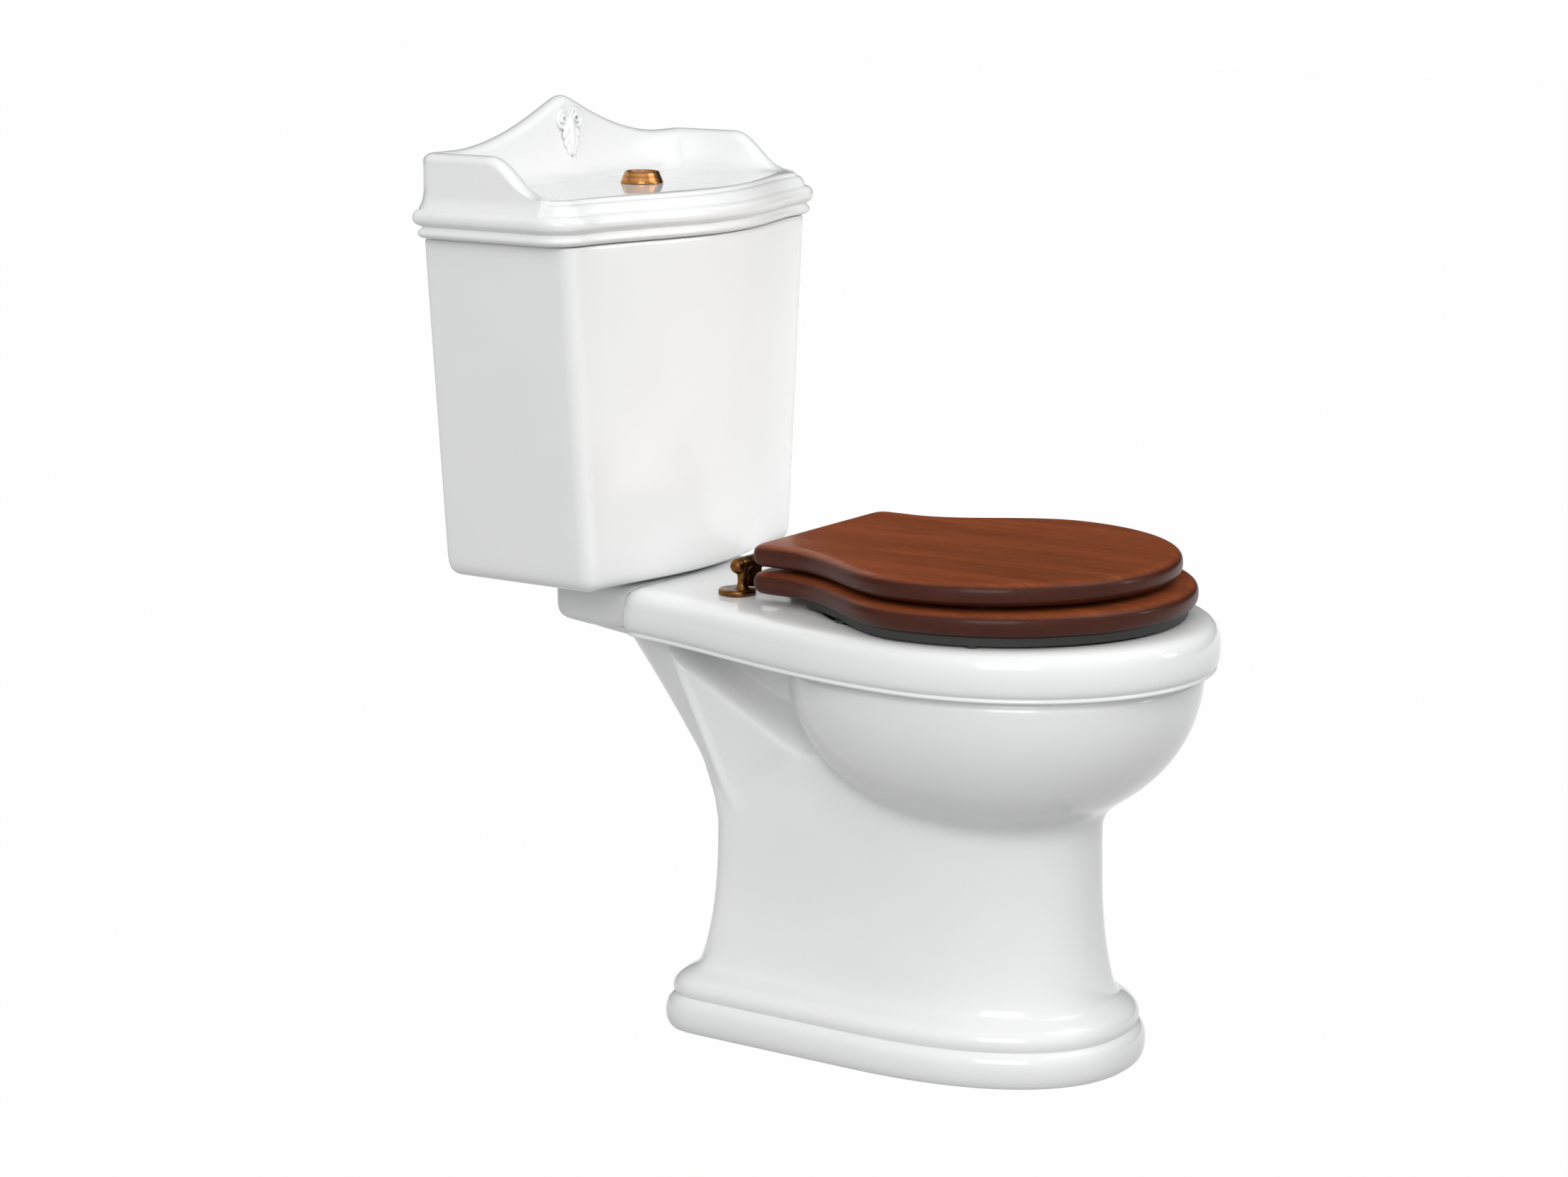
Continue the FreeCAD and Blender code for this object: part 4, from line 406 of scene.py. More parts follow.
def bow_outline(half, back, front, bow, corner, inset):
    """A cistern from above: straight back and sides, rounded corners and a bowed front."""
    side, rear, face = half - inset, back - inset, front + inset
    rear_round, round_off = max(2.0, 5.0 - inset * 0.2), max(2.0, corner - inset)
    right = [(x, rear) for x in np.linspace(0, side - rear_round, 8, endpoint=False)]
    right += [(side - rear_round + rear_round * math.sin(t), rear - rear_round + rear_round * math.cos(t))
              for t in np.linspace(0, math.pi / 2, 5, endpoint=False)]
    right += [(side, y) for y in np.linspace(rear - rear_round, face + round_off, 14, endpoint=False)]
    right += [(side - round_off + round_off * math.cos(t), face + round_off - round_off * math.sin(t))
              for t in np.linspace(0, math.pi / 2, 9, endpoint=False)]
    for share in np.linspace(1, 0, 24, endpoint=False):
        lift = bow * (0.5 + 0.5 * math.cos(math.pi * share)) ** 0.8
        right.append(((side - round_off) * share, face - lift))
    left = [(-x, y) for x, y in reversed(right[1:])]
    return np.array(right + [(0.0, face - bow)] + left)


def tank_ring(inset, z):
    """The tank's outline at a height, wider and more bowed towards the top."""
    share = (z - TANK["low"]) / (TANK["high"] - TANK["low"])
    half = TANK["half_low"] + (TANK["half_high"] - TANK["half_low"]) * share
    bow = TANK["bow_low"] + (TANK["bow_high"] - TANK["bow_low"]) * share
    return at_height(bow_outline(half, TANK["back"], TANK["front"], bow, TANK["corner"], inset), z)


def closing(ring, *shares):
    """Ever smaller copies of a flat ring about its middle, which close it."""
    middle = ring.mean(axis=0)
    return [middle + (ring - middle) * share for share in shares]


# From the middle of the floor up the inside, over the edge and down the outside
tank_rings = closing(tank_ring(24, 438.2), 0.03, 0.4, 0.8)
tank_rings += [tank_ring(inset, z) for inset, z in (
    (24, 438.2), (16, 438.8), (11.5, 442), (10, 448), (10, 520), (10, 600), (10, 680), (10, 745), (10, 754.5),
    (9.4, 756.2), (8, 756.8), (2.4, 756.8), (0.7, 756.2), (0, 754.5), (0, 745), (0, 680), (0, 600), (0, 520),
    (0, 460), (0, 443), (0.8, 436.5), (2.8, 431.5), (6.5, 428), (12, 426.4), (20, 426.1))]
tank_rings += closing(tank_ring(20, 426.1), 0.8, 0.4, 0.03)
tank = skin("cistern_box", tank_rings)
for x in (-wall_hole_offset, wall_hole_offset):
    work(tank, rod(wall_hole_radius, (x, 315, wall_hole_height), (x, 345, wall_hole_height)), "DIFFERENCE")
shade_up_to(tank, 50)
finish_with(tank, glazed_china, "pan_and_cistern", "ceramic", "cistern_tank")

# Cistern lid: a cast slab with a moulded edge, a gallery round the back that rises to a carved peak, and two
# wings, slip-cast in the same china. It lies loose on the tank's edge and is glazed and fired with the tank.

LID = dict(half=217.0, back=330.0, front=146.0, bow=38.0, corner=34.0)
DECK = 800  # height of the lid's flat top
WING_RISE = 38  # of the gallery above the deck, along the wings
WING_FOOT, WING_LENGTH = 183, 63  # where a wing begins to rise, and over what length
WING_SIDE = 200  # the gallery counts as a wing further out than this
GALLERY_THICK, CREST_ROUND = 20.0, 8


def lid_ring(inset, z):
    """The lid's outline, drawn in by an inset."""
    return at_height(bow_outline(**LID, inset=inset), z)


# From the middle of the underside out to the edge, up its mouldings and back over the deck
lid_rings = closing(lid_ring(40, 770), 0.03, 0.4, 0.8)
lid_rings += [lid_ring(inset, z) for inset, z in (
    (40, 770), (34, 768), (31, 762), (29, 757.4), (20, 757.2), (11, 757.3), (6.5, 758.4), (4, 760.6),
    (3.4, 763), (4.4, 765.6), (6.4, 767.4), (7.6, 768.4), (6.6, 769.4), (3.4, 770.6), (1, 773), (0, 776.5),
    (0.2, 780), (1.4, 783), (3.8, 785.2), (6.4, 786.2), (8, 786.4), (8.9, 787), (9.2, 788.2), (9.6, 790.6),
    (10.8, 793.2), (12.8, 795), (14.6, 795.7), (16, 795.9), (16.7, 796.4), (17.1, 797.6), (18, 798.8),
    (20, 799.6), (24, DECK), (34, DECK))]
lid_rings += closing(lid_ring(34, DECK), 0.93, 0.8, 0.6, 0.35, 0.03)
lid_slab = skin("lid_slab", lid_rings)


def gallery_top(x):
    """Height of the gallery's crest: level towards the wings, then a hollow sweep up to a blunt peak."""
    peak_rise, peak_round, sweep_length, sweep_power = 43.6, 7, 158, 1.8
    sweep = np.maximum(0, 1 - (np.hypot(x, peak_round) - peak_round) / sweep_length) ** sweep_power
    return DECK + WING_RISE + peak_rise * sweep


def gallery_path():
    """Points along the gallery's outer foot, from the left wing's tip round the back to the right wing's."""
    half, back, turn_round, tip = 208.0, 327.5, 14.0, 180.0
    left = [(-half, y) for y in np.linspace(tip, back - turn_round, 40, endpoint=False)]
    left += [(-half + turn_round - turn_round * math.cos(t), back - turn_round + turn_round * math.sin(t))
             for t in np.linspace(0, math.pi / 2, 8, endpoint=False)]
    rear = [(x, back) for x in np.linspace(-half + turn_round, 0, 46, endpoint=False)]
    half_way = left + rear
    return np.array(half_way + [(0.0, back)] + [(-x, y) for x, y in reversed(half_way)])


path = gallery_path()
along = np.gradient(path, axis=0)
along /= np.linalg.norm(along, axis=1)[:, None]
outward = np.column_stack([-along[:, 1], along[:, 0]])
inner = -GALLERY_THICK
gallery_rings = []
for place, out in zip(path, outward):
    on_wing = abs(place[0]) > WING_SIDE
    if on_wing and place[1] < WING_FOOT + WING_LENGTH:
        share = min(1, max(0, (place[1] - WING_FOOT) / WING_LENGTH))
        rise = WING_RISE * (0.5 - 0.5 * math.cos(math.pi * share))
    else:
        rise = float(gallery_top(place[0])) - DECK
    crest = CREST_ROUND * min(1.0, rise / 14 + 0.05)  # lower where a wing runs out
    spread = 1.0 if on_wing else 0.3
    profile = [(7 * spread, -26), (6.6 * spread, -18), (4.6 * spread, -13), (1.6 * spread, -8), (0.2, -2),
               (0, rise * 0.4), (0, rise * 0.75)]
    for turn in np.linspace(0, math.pi, 11):
        profile.append((inner / 2 - inner / 2 * math.cos(turn), rise - crest + crest * math.sin(turn)))
    profile += [(inner - 0.5, rise * 0.7), (inner - 2.2, rise * 0.42), (inner - 5.5, rise * 0.22),
                (inner - 11, rise * 0.09), (inner - 18, rise * 0.02), (inner - 26, -0.5), (inner - 26, -26)]
    gallery_rings.append(np.array([(place[0] + out[0] * step, place[1] + out[1] * step, DECK + height)
                                   for step, height in profile]))
gallery_wall = skin("gallery_wall", gallery_rings)

# Carving under the gallery's peak: two scrolls and a hanging leaf of soft lobes, modelled in the lid's mould
# and cast with it. The thick glaze softens it, so the lobes are melted together and smoothed.

CARVING_POINTS = 12  # round a scroll or a lobe
lobe_turn = np.arange(CARVING_POINTS) * math.tau / CARVING_POINTS
lobe_cos, lobe_sin = np.cos(lobe_turn)[:, None], np.sin(lobe_turn)[:, None]
off_face = np.array([0.0, 1.0, 0.0])


def volute(side):
    """A spiral roll of the scroll at the peak, winding inwards and growing thinner."""
    offset, face, height = 10.5, 306.5, 858.0  # the middle of the spiral
    first_angle, winding = 100, 620
    outer, eye, winding_power = 8.6, 0.8, 0.9
    thickest, thinning, eye_lift = 2.7, 1.5, 2.2
    rings = []
    for share in np.linspace(0, 1, 34):
        angle = math.radians(first_angle - winding * share)
        reach, thick = outer * (1 - share) ** winding_power + eye, thickest - thinning * share
        around = np.array([side * math.cos(angle), 0.0, math.sin(angle)])
        centre = np.array([side * offset, face - eye_lift * share, height]) + around * reach
        rings.append(centre + thick * (lobe_cos * around + lobe_sin * off_face))
    return skin("volute", rings)


def leaf_lobe(root, angle, length, width, depth, curl=0.0):
    """One lobe of the carved leaf: a tapering, slightly curled tongue that lies on the gallery's face."""
    face, steps = 305.5, 14
    rings, place, heading = [], np.array([root[0], face, root[1]]), math.radians(angle)
    for index in range(steps + 1):
        share = index / steps
        ahead = np.array([math.sin(heading), 0.0, -math.cos(heading)])
        across = np.array([math.cos(heading), 0.0, math.sin(heading)])
        swell = max(0.06, math.sin(math.pi * (0.12 + 0.88 * share)) ** 0.7)
        lift = -depth * (0.35 + 0.5 * share) * off_face
        rings.append(place + lift + swell * (width * lobe_cos * across + depth * lobe_sin * off_face))
        place = place + ahead * length / steps
        heading += math.radians(curl) / steps
    return skin("leaf_lobe", rings)


carving = [volute(-1), volute(1), leaf_lobe((0, 862), angle=0, length=40, width=4.2, depth=3.6)]
side_lobes = ((851, 62, 17, 3.6, -34), (845, 46, 17, 3.6, -30), (839, 33, 15, 3.2, -26),
              (833, 20, 12, 2.8, -16))
for side in (-1, 1):
    for root, angle, length, width, curl in side_lobes:
        carving.append(leaf_lobe((side * 1.5, root), side * angle, length, width, 3.0, side * curl))
for lobe in carving:
    lobe.select_set(True)
ornament = bpy.context.view_layer.objects.active = carving[0]
bpy.ops.object.join()
ornament.select_set(False)
melt = ornament.modifiers.new("melt", "REMESH")
melt.mode, melt.voxel_size = "VOXEL", 0.0009  # metres
bpy.ops.object.modifier_apply(modifier=melt.name)
soften = ornament.modifiers.new("soften", "SMOOTH")
soften.factor, soften.iterations = 0.5, 4
bpy.ops.object.modifier_apply(modifier=soften.name)
ornament.select_set(True)
bpy.ops.object.shade_smooth()
ornament.select_set(False)

lid = unite("cistern_cover", lid_slab, gallery_wall, ornament)
finish_with(lid, glazed_china, "pan_and_cistern", "ceramic", "cistern_lid")

# Seat lid and seat ring: mahogany boards cut to the pan's outline, edges rounded over, stained and varnished.
# The lid closes on the ring on small buffers, and both turn on brass leaves screwed on under their backs.

BOARD_POINTS = 128
COVER = dict(front=-358.0, middle=-185.0, belly=176.0, neck=113.0, back=16.0, corner=12.0, run=38.0,
             sweep=2.0)
BOARD = dict(COVER, front=-375.0, belly=183.0)
COVER_LOW, COVER_HIGH = 460, 482
BOARD_LOW, BOARD_HIGH = 434, 456
HOLE_SIDE, HOLE_LENGTH, HOLE_POWER = 106, 132, 2.2  # half sizes and squareness of the ring's opening

# Mahogany, stained red-brown under several coats of gloss varnish: growth bands 26 mm apart, streaks 3 mm
# apart and pores of 0.8 mm run along the boards, and painted shade darkens the faces that turn away from the
# top
mahogany, tree, shader, places = new_finish("varnished_mahogany")
lengthwise = add_node(tree, "ShaderNodeMapping", {"Vector": places, "Scale": (1.0, 0.06, 0.35)})
bands = add_node(tree, "ShaderNodeTexNoise", {
    "Vector": lengthwise.outputs[0], "Scale": 38.0, "Detail": 4.0, "Roughness": 0.6, "Distortion": 0.4})
streaks = add_node(tree, "ShaderNodeTexNoise", {
    "Vector": lengthwise.outputs[0], "Scale": 330.0, "Detail": 3.0, "Roughness": 0.65})
pores = add_node(tree, "ShaderNodeTexNoise", {
    "Vector": lengthwise.outputs[0], "Scale": 1250.0, "Detail": 1.0})
band_share = add_node(tree, "ShaderNodeMapRange", {0: bands.outputs[0], 1: 0.34, 2: 0.68})
streak_share = add_node(tree, "ShaderNodeMapRange", {0: streaks.outputs[0], 1: 0.36, 2: 0.7, 3: 0.0, 4: 0.55})
pore_share = add_node(tree, "ShaderNodeMapRange", {0: pores.outputs[0], 1: 0.56, 2: 0.72, 3: 0.0, 4: 0.5})
heart = add_node(tree, "ShaderNodeMix", {
    0: band_share.outputs[0], 6: linear("#9f5430"), 7: linear("#7d4023")}, data_type="RGBA")
streaked = add_node(tree, "ShaderNodeMix", {
    0: streak_share.outputs[0], 6: heart.outputs[2], 7: linear("#6a3019")}, data_type="RGBA")
grained = add_node(tree, "ShaderNodeMix", {
    0: pore_share.outputs[0], 6: streaked.outputs[2], 7: linear("#4a1e10")}, data_type="RGBA")
# Painted shade: faces that turn away from straight up, round the edges and underneath, are darkened towards
# deep brown as if in shadow
upward = add_node(tree, "ShaderNodeSeparateXYZ", {0: tree.nodes["Texture Coordinate"].outputs["Normal"]})
painted_shade_share = add_node(tree, "ShaderNodeMapRange", {0: upward.outputs["Z"], 1: 0.98, 2: 0.55, 3: 0.0, 4: 0.9})
stained_and_shaded = add_node(tree, "ShaderNodeMix", {
    0: painted_shade_share.outputs[0], 6: grained.outputs[2], 7: linear("#34130b")}, data_type="RGBA")
grain_bump = add_node(tree, "ShaderNodeBump", {
    "Height": pores.outputs[0], "Strength": 0.08, "Distance": 0.0002})
tree.links.new(stained_and_shaded.outputs[2], shader.inputs["Base Color"])
tree.links.new(grain_bump.outputs[0], shader.inputs["Normal"])
shader.inputs["Roughness"].default_value = 0.4
shader.inputs["Specular IOR Level"].default_value = 0.12
shader.inputs["Coat Weight"].default_value = 0.14
shader.inputs["Coat Roughness"].default_value = 0.09
shader.inputs["Coat IOR"].default_value = 1.5


def rounded_edge(low, high):
    """Insets and heights round a board's edge, from its underside to its top."""
    round_over = [(12, 0), (7, 0.5), (3.6, 1.9), (1.3, 4.2), (0.2, 7.4), (0, 11)]
    lower = [(inset, low + rise) for inset, rise in round_over]
    return lower + [(inset, high - rise) for inset, rise in round_over[-2::-1]]


cover_edge = [(60, COVER_LOW), (20, COVER_LOW), *rounded_edge(COVER_LOW, COVER_HIGH), (20, COVER_HIGH),
              (60, COVER_HIGH)]
cover_rings = [at_height(waisted_outline(COVER, inset, BOARD_POINTS), z) for inset, z in cover_edge]
cover_rings = closing(cover_rings[0], 0.03, 0.5) + cover_rings + closing(cover_rings[-1], 0.5, 0.03)
seat_lid = skin("seat_lid_board", cover_rings)
finish_with(seat_lid, mahogany, "seat_cover", "mahogany", "seat_lid")

board_edge = waisted_outline(BOARD, 0.0, BOARD_POINTS)
board_turn = np.arctan2(board_edge[:, 1] - BOARD["middle"], board_edge[:, 0])
ring_edge = rounded_edge(BOARD_LOW, BOARD_HIGH)
ring_rings = [at_height(waisted_outline(BOARD, inset, BOARD_POINTS), z) for inset, z in ring_edge]
for inset, z in reversed(ring_edge):
    hole = oval(HOLE_SIDE + inset, HOLE_LENGTH + inset, BOARD["middle"], HOLE_POWER, board_turn)
    ring_rings.append(at_height(hole, z))
ring_rings.append(ring_rings[0])
seat_ring = skin("seat_ring_board", ring_rings)
finish_with(seat_ring, mahogany, "seat", "mahogany", "seat_ring")

# Hinge posts: turned brass, each with a disc on the shelf, a slim neck and a barrel that ends in a ball.
# A stud under each passes through the shelf to a wing nut, and the pins that both boards turn on sit in the
# barrels.

POST_OFFSET = 77.5  # from the middle to each post
DISC_BACK, PIN_BACK, PIN_HEIGHT = 53.0, 47.0, 453.0  # from the outlet back to the discs and to the pin
disc_profile = [(0.4, 424.05), (16.6, 424.05), (17.6, 424.5), (18, 425.4), (18, 427.8), (17.5, 429.1),
                (16.2, 429.8), (14, 430), (0.4, 430)]
neck_profile = [(0.4, 429.5), (7.6, 429.5), (7.2, 430.4), (5.6, 432), (4.7, 434.5), (4.4, 438), (4.8, 442),
                (6, 446), (7, 450), (6.4, 454), (0.4, 456)]
barrel_profile = [(0.4, 70.5), (6.8, 70.5), (7.4, 71), (7.5, 72), (7.5, 79), (7.2, 80), (6.3, 80.8),
                  (6.2, 81.6), (6.8, 82.4), (7.4, 84), (7.5, 85.2), (7.2, 87), (6.2, 89), (4.6, 90.6),
                  (2.4, 91.7), (0.4, 92)]

# Antique brass: cast and turned, chemically browned, then rubbed back unevenly and lacquered, which leaves
# brown clouds 9 mm across
antique_brass, tree, shader, places = new_finish("antique_brass")
patina = add_node(tree, "ShaderNodeTexNoise", {"Vector": places, "Scale": 110.0, "Detail": 4.0})
cloud_share = add_node(tree, "ShaderNodeMapRange", {0: patina.outputs[0], 1: 0.35, 2: 0.66})
rubbed = add_node(tree, "ShaderNodeMix", {
    0: cloud_share.outputs[0], 6: linear("#4a2f18"), 7: linear("#8a5f30")}, data_type="RGBA")
dulling = add_node(tree, "ShaderNodeMapRange", {0: patina.outputs[0], 3: 0.38, 4: 0.2})
tree.links.new(rubbed.outputs[2], shader.inputs["Base Color"])
tree.links.new(dulling.outputs[0], shader.inputs["Roughness"])
shader.inputs["Metallic"].default_value = 1.0


def turned(name, profile, centre, lying=False, count=48):
    """A turned piece: circles of each (radius, distance) of its profile, round an upright axis or along X."""
    turn = np.arange(count) * math.tau / count
    rings = []
    for radius, distance in profile:
        circle = [centre[0] + np.cos(turn) * radius, centre[1] + np.sin(turn) * radius]
        level = [np.full(count, distance)]
        rings.append(np.column_stack(level + circle if lying else circle + level))
    return skin(name, rings)


for side, word in ((-1, "left"), (1, "right")):
    disc = turned("post_disc", disc_profile, (side * POST_OFFSET, DISC_BACK))
    neck = turned("post_neck", neck_profile, (side * POST_OFFSET, PIN_BACK))
    outward_profile = [(radius, side * reach) for radius, reach in barrel_profile]
    barrel = turned("post_barrel", outward_profile, (PIN_BACK, PIN_HEIGHT), lying=True)
    post = unite(f"hinge_pillar_{word}", disc, neck, barrel)
    finish_with(post, antique_brass, "pan_and_cistern", "brass", f"hinge_post_{word}")

# Flush button: a turned conical brass bezel, screwed through the lid, that holds two half-round keys.
# The keys are cut from one polished disc, with a slot between them, and stand on springs.

bezel_profile = [(0.4, 770), (10.6, 770), (11, 771), (11, 799), (12, 799.9), (20, 800), (20.8, 800.3),
                 (21, 801), (20.7, 802.2), (17.4, 809.8), (16.9, 811), (16.2, 811.8), (15.3, 812),
                 (14.6, 811.6), (14.4, 810.8), (14.4, 804.5), (14, 804), (0.4, 804)]
axis_back = FLUSH_AXIS / 1000
key_radius, half_slot, eased = 0.0139, 0.0015, 0.0009  # metres, like the boxes that part_box reads off the parts
slot_turn = math.radians(36)

# Polished brass under clear lacquer: warm red-gold, with faint rings from the lathe, drawn 2 mm apart, which
# is coarser than a lathe leaves them
polished_brass, tree, shader, places = new_finish("polished_brass")
from_axis = add_node(tree, "ShaderNodeMapping", {"Vector": places, "Location": (0.0, -axis_back, 0.0)})
lathe_rings = add_node(tree, "ShaderNodeTexWave", {
    "Vector": from_axis.outputs[0], "Scale": 160.0, "Distortion": 0.6},
    wave_type="RINGS", rings_direction="Z")
warmth = add_node(tree, "ShaderNodeMix", {
    0: lathe_rings.outputs[1], 6: linear("#c08a52"), 7: linear("#a8703f")}, data_type="RGBA")
ring_bump = add_node(tree, "ShaderNodeBump", {
    "Height": lathe_rings.outputs[1], "Strength": 0.06, "Distance": 0.0001})
tree.links.new(warmth.outputs[2], shader.inputs["Base Color"])
tree.links.new(ring_bump.outputs[0], shader.inputs["Normal"])
shader.inputs["Metallic"].default_value = 1.0
shader.inputs["Roughness"].default_value = 0.2

bezel = turned("flush_bezel", bezel_profile, (0.0, FLUSH_AXIS), count=64)
finish_with(bezel, polished_brass, "pan_and_cistern", "brass", "button_bezel")
for word, side in (("full", 1), ("half", -1)):
    low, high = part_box(f"{word}_flush_key")
    bpy.ops.mesh.primitive_cylinder_add(vertices=64, radius=key_radius, depth=high[2] - low[2],
                                        location=(0, axis_back, (low[2] + high[2]) / 2))
    key = bpy.context.object
    key.name = key.data.name = f"{word}_key_cap"
    bpy.ops.object.transform_apply(location=True, rotation=True, scale=True)
    away = (side * math.cos(slot_turn), side * math.sin(slot_turn), 0.0)
    slot_edge = (away[0] * half_slot, axis_back + away[1] * half_slot, low[2])
    bpy.ops.object.mode_set(mode="EDIT")
    bpy.ops.mesh.select_all(action="SELECT")
    bpy.ops.mesh.bisect(plane_co=slot_edge, plane_no=away, use_fill=True, clear_inner=True)
    bpy.ops.object.mode_set(mode="OBJECT")
    edges = key.modifiers.new("eased_edges", "BEVEL")
    edges.width, edges.segments, edges.limit_method, edges.angle_limit = eased, 3, "ANGLE", math.radians(50)
    bpy.ops.object.modifier_apply(modifier=edges.name)
    shade_up_to(key, 40)
    finish_with(key, polished_brass, f"{word}_key", "brass", f"{word}_flush_key")

# Hinge leaves, pins, screws, studs and wing nuts: stamped and turned brass, browned like the posts.
# The leaves are screwed up into the boards, and the studs hold the posts down through the shelf.


def coat(material, *names):
    """Gives CAD pieces that show as they are their finish."""
    for name in names:
        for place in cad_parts[name].material_slots:
            place.material = material


coat(antique_brass, "seat_leaves", "lid_leaves", "seat_leaf_screws", "lid_leaf_screws", "hinge_pins",
     "hinge_studs", "stud_wing_nuts")

# Gasket, washers, flush seal, feet and buffers: black rubber, moulded to shape. They are clamped by the bolts
# and nuts, or glued and pressed on the boards. The strip under the ring is a black sheet of painted shade: it
# stands for the dark gap between the ring and the rim.

# EPDM rubber: black with a grey bloom in patches 14 mm across, and a fine matt mould texture of 0.7 mm
moulded_rubber, tree, shader, places = new_finish("moulded_epdm_rubber")
bloom = add_node(tree, "ShaderNodeTexNoise", {"Vector": places, "Scale": 70.0, "Detail": 3.0})
bloomed = add_node(tree, "ShaderNodeMix", {
    0: bloom.outputs[0], 6: linear("#1a1c1a"), 7: linear("#242723")}, data_type="RGBA")
pimples = add_node(tree, "ShaderNodeTexNoise", {"Vector": places, "Scale": 1400.0, "Detail": 0.0})
matting = add_node(tree, "ShaderNodeBump", {
    "Height": pimples.outputs[0], "Strength": 0.15, "Distance": 0.0001})
tree.links.new(bloomed.outputs[2], shader.inputs["Base Color"])
tree.links.new(matting.outputs[0], shader.inputs["Normal"])
shader.inputs["Roughness"].default_value = 0.5
# seat_strip is painted shade: a black sheet standing for the dark gap between the seat ring and the rim
coat(moulded_rubber, "coupling_gasket", "bolt_seals", "flush_valve_washer", "flush_seal", "fill_valve_washer",
     "stud_washers", "seat_strip", "seat_feet", "lid_buffers")

# Cistern bolts, plates, wing nuts, pins and springs: stainless steel, turned, pressed or drawn.
# The bolts pass through the tank's floor into the horn, and the springs stand under the flush keys.

# Stainless steel with a satin drawn finish: neutral grey with fine streaks along the length, 1 mm apart
satin_steel, tree, shader, places = new_finish("satin_stainless_steel")
drawn = add_node(tree, "ShaderNodeMapping", {"Vector": places, "Scale": (1.0, 1.0, 0.08)})
lines = add_node(tree, "ShaderNodeTexNoise", {"Vector": drawn.outputs[0], "Scale": 900.0, "Detail": 2.0})
steel_tint = add_node(tree, "ShaderNodeMix", {
    0: lines.outputs[0], 6: linear("#c6c7c9"), 7: linear("#a9abae")}, data_type="RGBA")
steel_gloss = add_node(tree, "ShaderNodeMapRange", {0: lines.outputs[0], 3: 0.24, 4: 0.38})
tree.links.new(steel_tint.outputs[2], shader.inputs["Base Color"])
tree.links.new(steel_gloss.outputs[0], shader.inputs["Roughness"])
shader.inputs["Metallic"].default_value = 1.0
coat(satin_steel, "cistern_bolts", "bolt_plates", "bolt_wing_nuts", "rocker_pins", "full_flush_spring",
     "half_flush_spring", "lever_pin")

# Flush valve, fill valve and their nuts: injection-moulded in white ABS and hidden in the cistern.
# Their threaded tails pass through the tank's floor, and a nut under the lid holds the button's bezel.

# White ABS: satin, with a slight yellow cast and faint flow marks 25 mm long from the mould
white_abs, tree, shader, places = new_finish("white_abs")
flow = add_node(tree, "ShaderNodeTexNoise", {"Vector": places, "Scale": 40.0, "Detail": 2.0})
abs_tint = add_node(tree, "ShaderNodeMix", {
    0: flow.outputs[0], 6: linear("#ecebe4"), 7: linear("#e2e1da")}, data_type="RGBA")
abs_gloss = add_node(tree, "ShaderNodeMapRange", {0: flow.outputs[0], 3: 0.3, 4: 0.42})
tree.links.new(abs_tint.outputs[2], shader.inputs["Base Color"])
tree.links.new(abs_gloss.outputs[0], shader.inputs["Roughness"])
coat(white_abs, "flush_valve_base", "flush_valve_backnut", "valve_tower", "flush_stem", "button_nut",
     "fill_valve_body", "fill_valve_backnut", "fill_valve_head", "float_link")

# Rockers, push rods, trip, float cup and its lever: moulded in grey acetal, which runs dry on steel pins.
# They carry the keys' strokes to the flush valve and the water's level to the fill valve.

# Grey acetal: waxy and matt, with small specks of pigment 3 mm apart
grey_acetal, tree, shader, places = new_finish("grey_acetal")
pigment = add_node(tree, "ShaderNodeTexNoise", {"Vector": places, "Scale": 320.0, "Detail": 2.0})
acetal_tint = add_node(tree, "ShaderNodeMix", {
    0: pigment.outputs[0], 6: linear("#9aa0a6"), 7: linear("#8a9096")}, data_type="RGBA")
acetal_gloss = add_node(tree, "ShaderNodeMapRange", {0: pigment.outputs[0], 3: 0.45, 4: 0.55})
tree.links.new(acetal_tint.outputs[2], shader.inputs["Base Color"])
tree.links.new(acetal_gloss.outputs[0], shader.inputs["Roughness"])
coat(grey_acetal, "half_flush_trip", "full_flush_rocker", "half_flush_rocker", "full_flush_rod",
     "half_flush_rod", "float_lever", "float_cup")

# Studio: a pale paper floor and a white surround that is brightest on the camera's side. Soft boxes stand to
# the toilet's left and in front of it, with a gridded one for the tank. The camera is fitted to the
# photograph. Sizes are in metres.

# Pale matt paper with a faint wash in patches 1.7 m across: it shows the object's shadow and is otherwise
# about as white as the surround
bpy.ops.mesh.primitive_plane_add(size=30.0, location=(0, 0, 0))
floor = bpy.context.object
floor.name = floor.data.name = "studio_floor"
white, paper_share = (1, 1, 1, 1), 0.985
pale_floor, tree, shader, places = new_finish("pale_floor")
wash = add_node(tree, "ShaderNodeTexNoise", {"Vector": places, "Scale": 0.6})
floor_tint = add_node(tree, "ShaderNodeMix", {
    0: wash.outputs[0], 6: linear("#a0a0a0"), 7: linear("#9a9a9a")}, data_type="RGBA")
tree.links.new(floor_tint.outputs[2], shader.inputs["Base Color"])
shader.inputs["Roughness"].default_value = 0.9
shader.inputs["Specular IOR Level"].default_value = 0.0
paper = add_node(tree, "ShaderNodeEmission", {"Color": white, "Strength": 1.0})
rays = add_node(tree, "ShaderNodeLightPath")
seen = add_node(tree, "ShaderNodeMath", {
    0: rays.outputs["Is Camera Ray"], 1: rays.outputs["Is Glossy Ray"]}, operation="MAXIMUM")
seen = add_node(tree, "ShaderNodeMath", {
    0: seen.outputs[0], 1: rays.outputs["Is Transmission Ray"]}, operation="MAXIMUM")
seen = add_node(tree, "ShaderNodeMath", {0: seen.outputs[0], 1: paper_share}, operation="MULTIPLY")
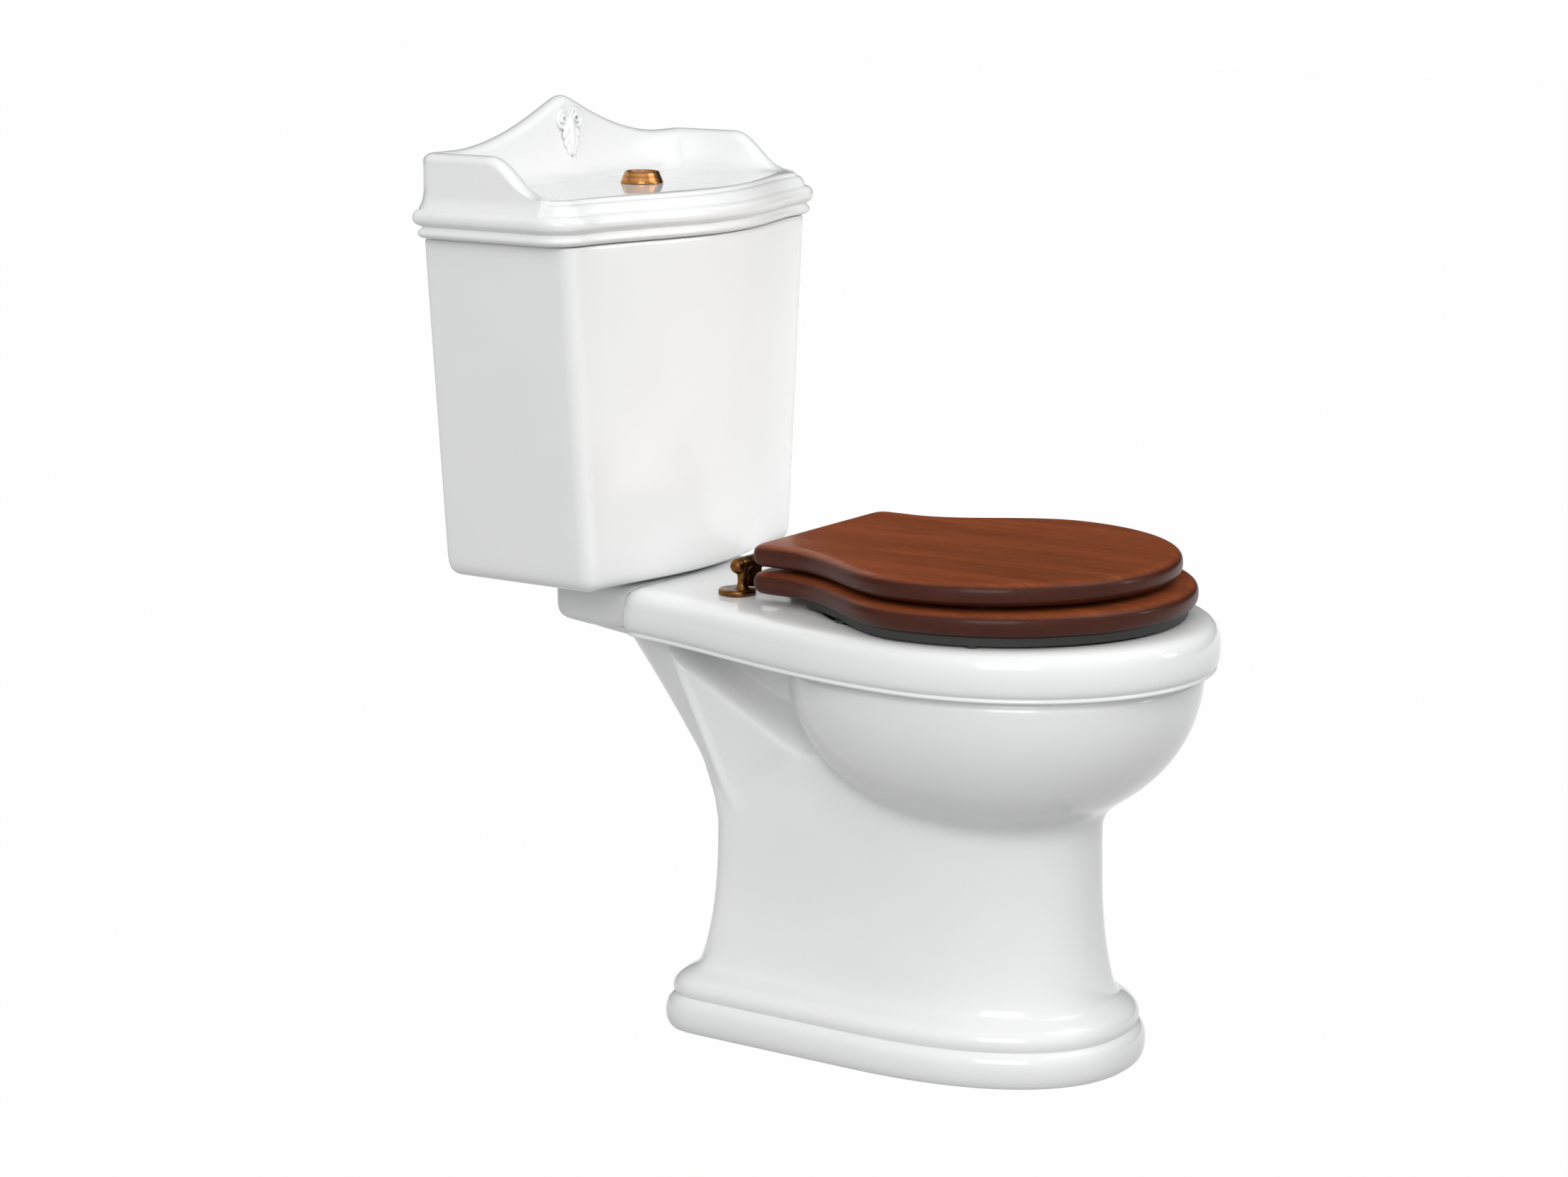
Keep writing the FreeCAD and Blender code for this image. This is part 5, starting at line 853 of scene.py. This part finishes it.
mixed = add_node(tree, "ShaderNodeMixShader", {0: seen.outputs[0], 1: shader.outputs[0], 2: paper.outputs[0]})
tree.links.new(mixed.outputs[0], tree.nodes["Material Output"].inputs["Surface"])
floor.data.materials.append(pale_floor)
floor.select_set(False)

bright_side = (-0.74, -0.50, 0.44)
world = bpy.data.worlds.new("white_surround")
bpy.context.scene.world = world
world.use_nodes = True
tree = world.node_tree
rays = add_node(tree, "ShaderNodeLightPath")
shown = add_node(tree, "ShaderNodeMath", {
    0: rays.outputs["Is Camera Ray"], 1: rays.outputs["Is Transmission Ray"]}, operation="MAXIMUM")
heading = add_node(tree, "ShaderNodeTexCoord").outputs["Generated"]
facing = add_node(tree, "ShaderNodeVectorMath", {0: heading, 1: bright_side}, operation="DOT_PRODUCT")
room = add_node(tree, "ShaderNodeMapRange", {0: facing.outputs["Value"], 1: -0.45, 2: 0.9, 3: 0.03, 4: 1.08})
level = add_node(tree, "ShaderNodeMix", {0: shown.outputs[0], 2: room.outputs[0], 3: 1.0})
tree.nodes["Background"].inputs["Color"].default_value = white
tree.links.new(level.outputs[0], tree.nodes["Background"].inputs["Strength"])


def soft_lamp(name, place, aim, size, power, spread=180):
    """A square soft box at a place, turned to what it lights; a grid on it narrows the spread."""
    bpy.ops.object.light_add(type="AREA", location=place)
    lamp = bpy.context.object
    lamp.name = name
    lamp.data.shape, lamp.data.size, lamp.data.energy = "SQUARE", size, power
    lamp.data.spread = math.radians(spread)
    x, y, z = [end - start for start, end in zip(place, aim)]
    lamp.rotation_euler = (math.atan2(math.hypot(x, y), -z), 0, math.atan2(-x, y))
    lamp.select_set(False)


soft_lamp("key_box", (-2.3, -1.3, 1.8), (0, 0, 0.5), 1.4, 24)
soft_lamp("front_box", (0.35, -1.1, 1.6), (0.1, 0.1, 0.7), 0.9, 4.5)
soft_lamp("tank_box", (0.60, -1.0, 0.85), (0.12, 0.12, 0.55), 0.5, 0.37, 36)

bpy.ops.object.camera_add(location=(-2.7915, -1.8292, 1.1012),
                          rotation=(math.radians(78.50), 0, math.radians(-56.03)))
camera = bpy.context.object
camera.data.lens, camera.data.sensor_width, camera.data.sensor_fit = 81.46, 36.0, "HORIZONTAL"
camera.select_set(False)
bpy.context.scene.camera = camera
bpy.context.scene.view_settings.view_transform = "Standard"
